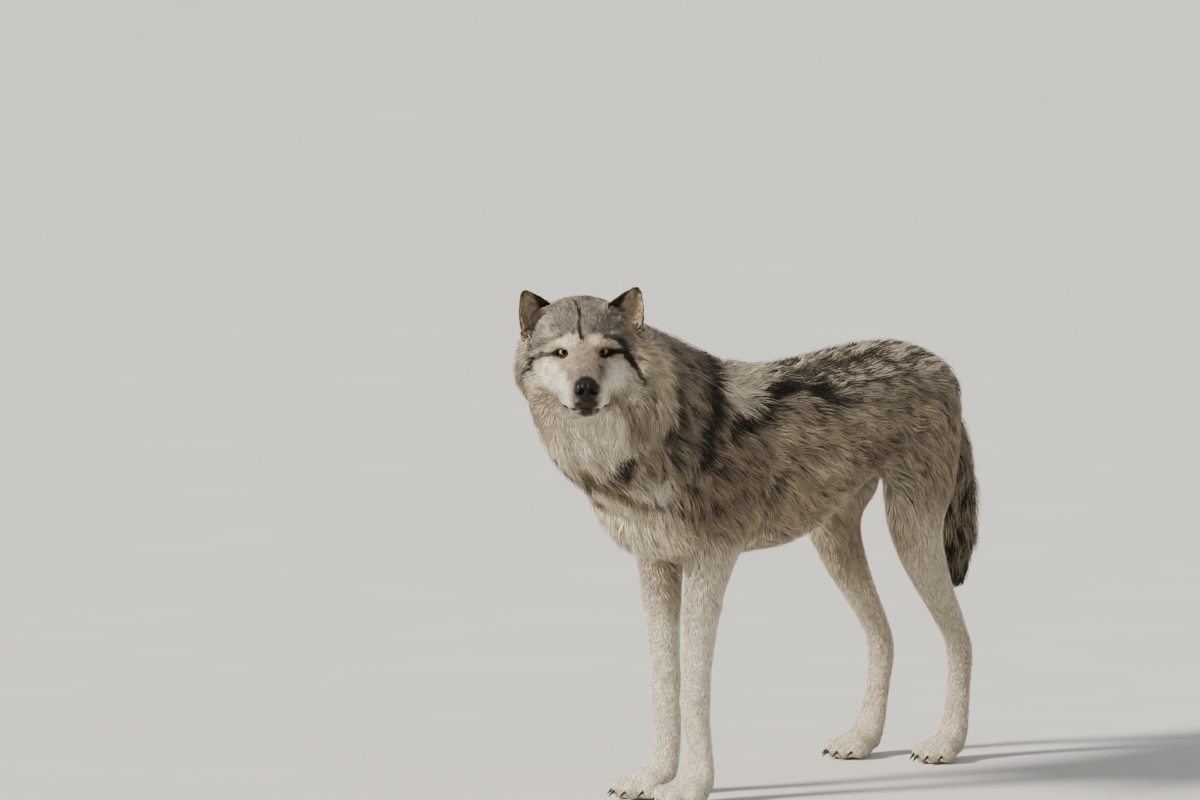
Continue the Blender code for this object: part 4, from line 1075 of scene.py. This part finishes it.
def tuft_colours(roots, colour, tips, along, leader):
    """Hair colour along each tuft: darkened at the root by painted shade, banded, some with black
    tips.
    """
    count = len(roots)
    lock = chance.random(count)[leader]
    own = chance.random(count)
    blotch = noise(roots, 0.018, 11)
    black = smooth_step(0.06, -0.06, 0.40 * lock + 0.25 * own + 0.35 * blotch - tips * 0.9)
    vivid = 0.50 + 0.45 * smooth_step(0.020, 0.045, coat_at(roots)[1])
    bright = (1.05 - 0.64 * vivid + vivid * (0.88 * lock + 0.40 * own))[:, None, None]
    # Painted shade: each tuft is darker towards its root, where the coat over it would shade it.
    painted_root_shade = ROOT_PAINTED_SHADE + (1 - ROOT_PAINTED_SHADE) * smooth_step(0.0, 0.45, along)
    hair = colour[:, None, :] * bright * painted_root_shade[None, :, None]
    hair = blend(hair, SOOT, black[:, None] * smooth_step(0.15, 0.55, along))
    pale = (1 - black)[:, None] * smooth_step(0.6, 1.0, along) * PALE_TIP
    hair = blend(hair, np.minimum(hair * 1.5, 0.9), pale)
    return np.clip(hair, 0, 1).reshape(-1, 3)


# ---------------------------------------------------------------- materials


def feed(material, node, sockets):
    """Set the inputs of a node: to a value, or from the output of another node."""
    for name, value in sockets.items():
        if isinstance(value, bpy.types.NodeSocket):
            material.node_tree.links.new(value, node.inputs[name])
        else:
            node.inputs[name].default_value = value


def add_node(material, kind, sockets, output, **settings):
    """Add a node and give the output that others read."""
    node = material.node_tree.nodes.new("ShaderNode" + kind)
    for name, value in settings.items():
        setattr(node, name, value)
    feed(material, node, sockets)
    return node.outputs[output]


def surface(material, **sockets):
    """Set or feed the inputs of a material's shader."""
    feed(material, material.node_tree.nodes["Principled BSDF"],
         {key.replace("_", " "): value for key, value in sockets.items()})


def new_material(name, **sockets):
    """A material with the numbers of its shader, and the object's own coordinates."""
    material = bpy.data.materials.new(name)
    material.use_nodes = True
    surface(material, **sockets)
    return material, add_node(material, "TexCoord", {}, "Object")


def ramp(material, share, *stops):
    """A run of colours along a share from 0 to 1."""
    node = material.node_tree.nodes.new("ShaderNodeValToRGB")
    feed(material, node, {"Fac": share})
    elements = node.color_ramp.elements
    for element, (position, colour) in zip(elements, (stops[0], stops[-1])):
        element.position, element.color = position, (*colour, 1)
    for position, colour in stops[1:-1]:
        elements.new(position).color = (*colour, 1)
    return node.outputs["Color"]


def scaled(material, colour, share, low, high):
    """A colour made darker or lighter by a noise."""
    amount = add_node(material, "MapRange", {"Value": share, "From Min": 0.3, "From Max": 0.7,
                                             "To Min": low, "To Max": high}, "Result")
    return add_node(material, "VectorMath", {0: colour, "Scale": amount}, "Vector",
                    operation="SCALE")


def relief(material, height, strength, distance):
    return add_node(material, "Bump", {"Height": height, "Strength": strength,
                                       "Distance": distance}, "Normal")


def coat_material(name, grain, roughness, bump):
    """Hair or haired skin: colours kept on the mesh, with fine strands in its grain."""
    material, where = new_material(name, Roughness=roughness, Specular_IOR_Level=0.12)
    fine = add_node(material, "TexNoise", {"Vector": where, "Scale": grain, "Detail": 3}, "Fac")
    kept = add_node(material, "Attribute", {}, "Color", attribute_name="coat")
    surface(material, Base_Color=scaled(material, kept, fine, 0.82, 1.15),
            Normal=relief(material, fine, bump, 0.0006))
    return material


def leather_material():
    """Moist black leather of the nose, with its fine pebbles."""
    material, where = new_material("nose_leather", Specular_IOR_Level=0.10, Coat_Weight=0.04,
                                   Coat_Roughness=0.25)
    pebbles = add_node(material, "TexVoronoi", {"Vector": where, "Scale": 950}, "Distance")
    cloud = add_node(material, "TexNoise", {"Vector": where, "Scale": 160}, "Fac")
    wet = add_node(material, "MapRange", {"Value": cloud, "To Min": 0.32, "To Max": 0.52},
                   "Result")
    surface(material, Roughness=wet, Normal=relief(material, pebbles, 0.5, 0.0004),
            Base_Color=ramp(material, cloud, (0.3, (0.004, 0.0035, 0.004)),
                            (0.75, (0.016, 0.013, 0.013))))
    return material


def horn_material():
    """Dark horn of the claws, streaked along."""
    material, where = new_material("claw_horn", Roughness=0.42)
    stretch = add_node(material, "Mapping", {"Vector": where, "Scale": (120, 700, 700)}, "Vector")
    streaks = add_node(material, "TexNoise", {"Vector": stretch, "Scale": 1.0}, "Fac")
    surface(material, Normal=relief(material, streaks, 0.35, 0.0003),
            Base_Color=ramp(material, streaks, (0.35, (0.012, 0.010, 0.009)),
                            (0.75, (0.070, 0.056, 0.044))))
    return material


IRIS = 0.0062
PUPIL = 0.0024


def eye_material():
    """Amber iris with fibres and a dark ring, round black pupil, dark outer white."""
    material, _ = new_material("eye_amber", Roughness=0.10, Specular_IOR_Level=0.10,
                               Coat_Weight=0.18, Coat_Roughness=0.03)
    flat = add_node(material, "UVMap", {}, "UV", uv_map="gaze")
    centred = add_node(material, "VectorMath", {0: flat, 1: (0.5, 0.5, 0)}, "Vector",
                       operation="SUBTRACT")
    radius = add_node(material, "VectorMath", {0: centred}, "Value", operation="LENGTH")
    way = add_node(material, "VectorMath", {0: centred}, "Vector", operation="NORMALIZE")
    fibres = add_node(material, "TexNoise", {"Vector": way, "Scale": 9.0, "Detail": 4}, "Fac")
    pupil, iris = PUPIL / (2 * EYEBALL), IRIS / (2 * EYEBALL)
    rings = ramp(material, radius, (0.0, (0.002, 0.002, 0.002)), (pupil, (0.002, 0.002, 0.002)),
                 (pupil * 1.12, (0.30, 0.19, 0.06)), (iris * 0.62, (0.50, 0.38, 0.16)),
                 (iris * 0.88, (0.34, 0.23, 0.08)), (iris, (0.03, 0.018, 0.008)),
                 (iris * 1.12, (0.10, 0.065, 0.045)), (1.0, (0.05, 0.03, 0.02)))
    surface(material, Base_Color=scaled(material, rings, fibres, 0.65, 1.25))
    return material


def lid_material():
    """Thin dark skin of the eyelids, with fine creases."""
    material, where = new_material("lid_skin", Roughness=0.45, Specular_IOR_Level=0.2)
    creases = add_node(material, "TexNoise", {"Vector": where, "Scale": 900}, "Fac")
    surface(material, Normal=relief(material, creases, 0.4, 0.0003),
            Base_Color=ramp(material, creases, (0.0, (0.006, 0.005, 0.005)),
                            (1.0, (0.030, 0.024, 0.020))))
    return material


def dress(thing, material):
    thing.data.materials.clear()
    thing.data.materials.append(material)


def carry(thing, look, slot, *nodes):
    """Wear a material, ride on the one body and hide the CAD nodes it stands for; the slot is not
    used.
    """
    dress(thing, MATERIALS[look])
    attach(thing, "root")
    if nodes:
        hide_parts(*nodes)


def loft(shape, rings):
    """Faces between closed rings of points, one after another."""
    for low, high in zip(rings, rings[1:]):
        for step in range(len(low)):
            following = (step + 1) % len(low)
            shape.faces.new((low[step], low[following], high[following], high[step]))


def closed_loft(shape, rings):
    loft(shape, rings)
    shape.faces.new(rings[0][::-1])
    shape.faces.new(rings[-1])


def thing_from(shape, name, outward=None):
    """An object from a drawn shape, its faces outwards, or towards a given way."""
    bmesh.ops.recalc_face_normals(shape, faces=shape.faces)
    if outward is not None and sum(face.normal.dot(outward) for face in shape.faces) < 0:
        bmesh.ops.reverse_faces(shape, faces=shape.faces)
    mesh = bpy.data.meshes.new(name)
    shape.to_mesh(mesh)
    shape.free()
    mesh.shade_smooth()
    return new_thing(name, mesh)


# ---------------------------------------------------------------- eyes and lids

GAZE = turned("head", (1.0, 0.0, 0.16))
GAZE_SCALE = 0.30
LID_TURNS = 48
LID_WALL = 0.0008
LID_HALF_WIDTH = 0.0106
LID_RISE, LID_DROP = 0.0059, 0.0050
# Rings of a lid: how far out from its edge, and how high over the eyeball, or None where
# it dives under the skin.
LID_RINGS = [(-0.0006, -0.0006), (0.0000, 0.0008), (0.0012, 0.0013), (0.0028, 0.0010),
             (0.0052, None), (0.0080, None)]
LIP_TURNS = 24
EYE_SLANT = math.radians(18)


def gaze_axes(side):
    """Axes of one eye: z along the gaze, x outwards to its own side, y up."""
    forward = GAZE.copy()
    outward = turned("head", (0, 1, 0)) * SIDES[side]
    outward = (outward - outward.project(forward)).normalized()
    upward = turned("head", (0, 0, 1))
    upward = (upward - upward.project(forward) - upward.project(outward)).normalized()
    axes = Matrix((outward, upward, forward)).transposed().to_4x4()
    return Matrix.Translation(middle(f"eye_{side}")) @ axes


def make_eye(side):
    """An eyeball with the low dome of its cornea, mapped straight along the gaze."""
    deselect_all()
    bpy.ops.mesh.primitive_uv_sphere_add(segments=48, ring_count=36, radius=EYEBALL)
    eye = bpy.context.object
    rename(eye, f"eyeball_{side}")
    points = points_of(eye.data)
    off_axis = np.linalg.norm(points[:, :2], axis=1)
    dome = np.clip(1 - (off_axis / (IRIS * 1.15)) ** 2, 0, 1) * (points[:, 2] > 0)
    points *= (1 + 0.055 * dome)[:, None]
    set_points(eye.data, points)
    for layer in list(eye.data.uv_layers):
        eye.data.uv_layers.remove(layer)
    flat = eye.data.uv_layers.new(name="gaze")
    corners = taken(eye.data.loops, "vertex_index", 1, np.int64)[:, 0]
    off_axis = np.linalg.norm(points[:, :2], axis=1)
    angle = np.arctan2(off_axis, points[:, 2])
    way = points[:, :2] / np.maximum(off_axis, 1e-9)[:, None]
    spread = 0.5 + way * angle[:, None] * GAZE_SCALE
    flat.data.foreach_set("uv", spread[corners].reshape(-1))
    eye.data.transform(gaze_axes(side))
    eye.data.shade_smooth()
    carry(eye, "eye", "eye_amber", f"eye_{side}")


def lid_edge(angle):
    """The opening between the lids, pointed at both corners, with the outer one raised."""
    across, upward = math.cos(angle), math.sin(angle)
    x = LID_HALF_WIDTH * across
    y = (LID_RISE if upward > 0 else LID_DROP) * math.copysign(abs(upward) ** 1.35, upward)
    cosine, sine = math.cos(EYE_SLANT), math.sin(EYE_SLANT)
    return x * cosine - y * sine, x * sine + y * cosine


def make_lids(side, skin_tree):
    """Rims that wrap the eyeball and run out under the hair of the face."""
    axes = gaze_axes(side)
    shape = bmesh.new()
    rings = []
    for spread, lift in LID_RINGS:
        ring = []
        for step in range(LID_TURNS):
            angle = 2 * math.pi * step / LID_TURNS
            x, y = lid_edge(angle)
            out = Vector((x / 0.0105, y / 0.0060)).normalized()
            x, y = x + out.x * spread, y + out.y * spread
            height = math.sqrt(max(EYEBALL ** 2 - x * x - y * y, 1e-8))
            spot = skin_tree.ray_cast(axes @ Vector((x, y, 0.05)), -GAZE)[0]
            bed = (axes.inverted() @ spot).z
            if lift is None:
                height = bed - 0.0012
            elif spread > 0:
                height = max(height + lift, bed + 0.0005)
            else:
                height += lift
            ring.append(shape.verts.new(axes @ Vector((x, y, height))))
        rings.append(ring)
    loft(shape, rings)
    lids = thing_from(shape, f"lids_{side}", GAZE)
    change(lids, "SOLIDIFY", thickness=LID_WALL, offset=-1)
    rounded(lids, 1)
    carry(lids, "lid", "nose_leather")


# ---------------------------------------------------------------- nose

NOSE_VOXEL = 0.0007
NOSTRIL_VOXEL = 0.0005


def add_ball(at, size, turn=(0, 0, 0)):
    """A ball of the head, squashed to its size."""
    deselect_all()
    bpy.ops.mesh.primitive_uv_sphere_add(segments=32, ring_count=20, radius=1)
    ball = bpy.context.object
    lean = (Matrix.Rotation(turn[0], 4, "X") @ Matrix.Rotation(turn[1], 4, "Y")
            @ Matrix.Rotation(turn[2], 4, "Z"))
    ball.data.transform(HEAD @ Matrix.Translation(at) @ lean @ Matrix.Diagonal((*size, 1)))
    if HEAD.to_3x3().determinant() < 0:
        ball.data.flip_normals()
    return ball


def cut(thing, cutter):
    change(thing, "BOOLEAN", operation="DIFFERENCE", solver="EXACT", object=cutter)
    bpy.data.objects.remove(cutter)


def fuse(balls, size):
    """Balls run together into one smooth body."""
    body = joined(balls)
    remesh(body, size)
    return body


def make_lips(skin_tree):
    """The bare dark lips where they show at the corners of the mouth, with their parting."""
    shape = bmesh.new()
    path = laid_paths["mouth"]
    for _ in range(6):
        path[1:-1] = 0.5 * path[1:-1] + 0.25 * (path[:-2] + path[2:])
    share = np.linspace(-1, 1, len(path))
    for sign in (-1, 1):
        rings = []
        for number in np.nonzero(share * sign > 0.45)[0]:
            spot, up = skin_tree.find_nearest(Vector(path[number]))[:2]
            ahead = Vector(path[min(number + 1, len(path) - 1)] - path[number - 1]).normalized()
            across = up.cross(ahead).normalized()
            t = (share[number] * sign - 0.45) / 0.55
            half = 0.0010 + 0.0042 * math.sin(math.pi * min(t, 0.97) ** 1.4)
            ring = []
            for step in range(LIP_TURNS):
                angle = 2 * math.pi * step / LIP_TURNS
                parting = 1 - 0.55 * math.exp(-(math.cos(angle) / 0.28) ** 2)
                rise = 0.0014 + 0.0058 * math.sin(math.pi * min(t + 0.06, 0.95))
                lift = math.sin(angle) * rise * (parting if step < LIP_TURNS / 2 else 1)
                ring.append(shape.verts.new(spot + up * lift + across * math.cos(angle) * half))
            rings.append(ring)
        closed_loft(shape, rings)
    lips = thing_from(shape, "lips")
    carry(lips, "nose", "nose_leather")


def make_nose():
    """The bare nose: a broad pad with two wings, a parting and comma-shaped nostrils."""
    balls = [add_ball((0.1255, 0, -0.0330), (0.0150, 0.0195, 0.0135)),
             add_ball((0.1300, 0, -0.0405), (0.0120, 0.0100, 0.0150))]
    hollows = [add_ball((0.1450, 0, -0.0470), (0.0032, 0.0008, 0.0110))]
    for sign in SIDES.values():
        balls.append(add_ball((0.1300, 0.0108 * sign, -0.0365), (0.0130, 0.0104, 0.0140)))
        balls.append(add_ball((0.1340, 0.0045 * sign, -0.0300), (0.0090, 0.0065, 0.0070)))
        hollows.append(add_ball((0.1430, 0.0082 * sign, -0.0370), (0.0095, 0.0046, 0.0048),
                                (-0.35 * sign, 0, 0)))
        hollows.append(add_ball((0.1410, 0.0118 * sign, -0.0408), (0.0110, 0.0045, 0.0021),
                                (-0.10 * sign, 0, 0)))
        hollows.append(add_ball((0.1360, 0.0170 * sign, -0.0412), (0.0110, 0.0060, 0.0013),
                                (0.22 * sign, 0, 0)))
    nose = fuse(balls, NOSE_VOXEL)
    rename(nose, "nose_pad")
    smooth(nose, 8)
    cut(nose, fuse(hollows, NOSTRIL_VOXEL))
    remesh(nose, NOSE_VOXEL)
    smooth(nose, 2)
    nose.data.shade_smooth()
    carry(nose, "nose", "nose_leather", "nose")


# ---------------------------------------------------------------- claws and whiskers


CLAW_FULLNESS = 1.12
WHISKER_HALF = 0.00032
WHISKER_ROWS, WHISKERS_IN_ROW = 4, 5


def make_claws():
    """The claws with rounded backs, a little fuller than their cores."""
    for node in sorted(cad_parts):
        if not node.startswith("claw"):
            continue
        claw = copy_of_node(node, node.replace("claw", "nail"))
        centre = np.array(middle(node))
        set_points(claw.data, centre + (points_of(claw.data) - centre) * CLAW_FULLNESS)
        rounded(claw, 2)
        carry(claw, "horn", "claw_horn", node)


def make_whiskers(skin_tree):
    """Stiff hairs of the lips: thin tapering rods in four rows on each side."""
    shape = bmesh.new()
    for sign in SIDES.values():
        for row in range(WHISKER_ROWS):
            for number in range(WHISKERS_IN_ROW):
                ahead = 0.110 - 0.011 * number
                start = place("head", (ahead, 0.10 * sign, -0.046 - 0.0055 * row))
                inward = turned("head", (0.15, -sign, 0.0))
                root = skin_tree.ray_cast(start, inward)[0]
                if root is None:
                    continue
                length = 0.022 + 0.005 * number
                way = turned("head", (-0.75 + 0.08 * number, 0.85 * sign, -0.25 - 0.10 * row))
                rings = []
                for step in range(5):
                    t = step / 4
                    sag = turned("head", (-0.35, 0, -0.5)) * length * 0.35 * t * t
                    centre = root + way * length * t + sag
                    across = way.cross(Vector((0, 0, 1))).normalized()
                    upward = across.cross(way)
                    half = WHISKER_HALF * (1 - 0.85 * t)
                    rings.append([shape.verts.new(centre + (across * math.cos(a) + upward
                                                            * math.sin(a)) * half)
                                  for a in (0, math.tau / 3, 2 * math.tau / 3)])
                closed_loft(shape, rings)
    whiskers = thing_from(shape, "whiskers")
    carry(whiskers, "horn", "head_fur")


# ---------------------------------------------------------------- floor, light, camera

VIEW_TURN = math.radians(-52)
VIEW_RISE = math.radians(6)
VIEW_DISTANCE = 20.0
VIEW_WIDTH = 2.16
VIEW_RIGHT = Vector((math.cos(VIEW_TURN), math.sin(VIEW_TURN), 0))
LOOK = Vector((-math.sin(VIEW_TURN) * math.cos(VIEW_RISE),
               math.cos(VIEW_TURN) * math.cos(VIEW_RISE), -math.sin(VIEW_RISE)))
VIEW_UP = VIEW_RIGHT.cross(LOOK)
AIM = WITHERS + VIEW_RIGHT * -0.1872 + VIEW_UP * 0.7092


def make_floor():
    deselect_all()
    bpy.ops.mesh.primitive_plane_add(size=160, location=(0, 0, 0))
    floor = bpy.context.object
    floor.name = "floor"
    material, where = new_material("floor", Roughness=0.9)
    cloud = add_node(material, "TexNoise", {"Vector": where, "Scale": 3}, "Fac")
    surface(material, Base_Color=ramp(material, cloud, (0.0, (0.55, 0.54, 0.52)),
                                      (1.0, (0.62, 0.61, 0.59))))
    dress(floor, material)


def aim(light, way):
    light.rotation_euler = way.to_track_quat("-Z", "Y").to_euler()


def make_lights():
    """A wide soft key from the left, a faint fill from the right and a pale room."""
    sun = bpy.data.lights.new("key", "SUN")
    sun.energy = 9.0
    sun.angle = math.radians(10)
    sun.color = (1.0, 0.94, 0.84)
    key = new_thing("key", sun)
    aim(key, VIEW_RIGHT * 0.80 - VIEW_UP * 0.52 + LOOK * 0.45)
    lamp = bpy.data.lights.new("fill", "AREA")
    lamp.shape = "DISK"
    lamp.size = 3
    lamp.energy = 25
    fill = new_thing("fill", lamp)
    fill.location = WITHERS + VIEW_RIGHT * 3 + Vector((0, 0, 1.7)) - LOOK * 2.5
    aim(fill, WITHERS + Vector((0, 0, 0.5)) - fill.location)
    world = bpy.data.worlds.new("room")
    bpy.context.scene.world = world
    world.use_nodes = True
    feed(world, world.node_tree.nodes["Background"],
         {"Color": (0.88, 0.88, 0.89, 1), "Strength": 0.55})


def make_camera():
    lens = bpy.data.cameras.new("camera")
    lens.sensor_width = 36
    lens.lens = 36 * VIEW_DISTANCE / VIEW_WIDTH
    lens.clip_end = 200
    camera = new_thing("camera", lens)
    turn = Matrix((VIEW_RIGHT, VIEW_UP, -LOOK)).transposed().to_4x4()
    camera.matrix_world = Matrix.Translation(AIM - LOOK * VIEW_DISTANCE) @ turn
    bpy.context.scene.camera = camera


# ---------------------------------------------------------------- making the wolf

MATERIALS = {
    "skin": coat_material("short_hair", 1400, 0.75, 0.6),
    "tuft": coat_material("tufts", 700, 0.72, 0.2),
    "nose": leather_material(),
    "horn": horn_material(),
    "eye": eye_material(),
    "lid": lid_material(),
}


def make_wolf():
    skin = make_skin()
    ear_marks = near_ear(points_of(skin.data), 0.010)
    colour, _, _ = markings_at(points_of(skin.data), normals_of(skin.data), ear_marks)
    # The skin takes the markings darkened to 0.8: painted shade, as cast between the tufts.
    paint(skin, colour * 0.8)
    carry(skin, "skin", "head_fur", *FLESH)
    guide = make_guide(skin)
    ground = Ground(skin, guide)
    for side in SIDES:
        make_eye(side)
        make_lids(side, ground.tree)
    make_nose()
    make_lips(ground.tree)
    make_claws()
    make_whiskers(ground.tree)
    for growth in GROWTHS:
        tufts = grow(ground, growth)
        carry(tufts, "tuft", growth.slot)
    bpy.data.objects.remove(guide)


make_wolf()
make_floor()
make_lights()
make_camera()
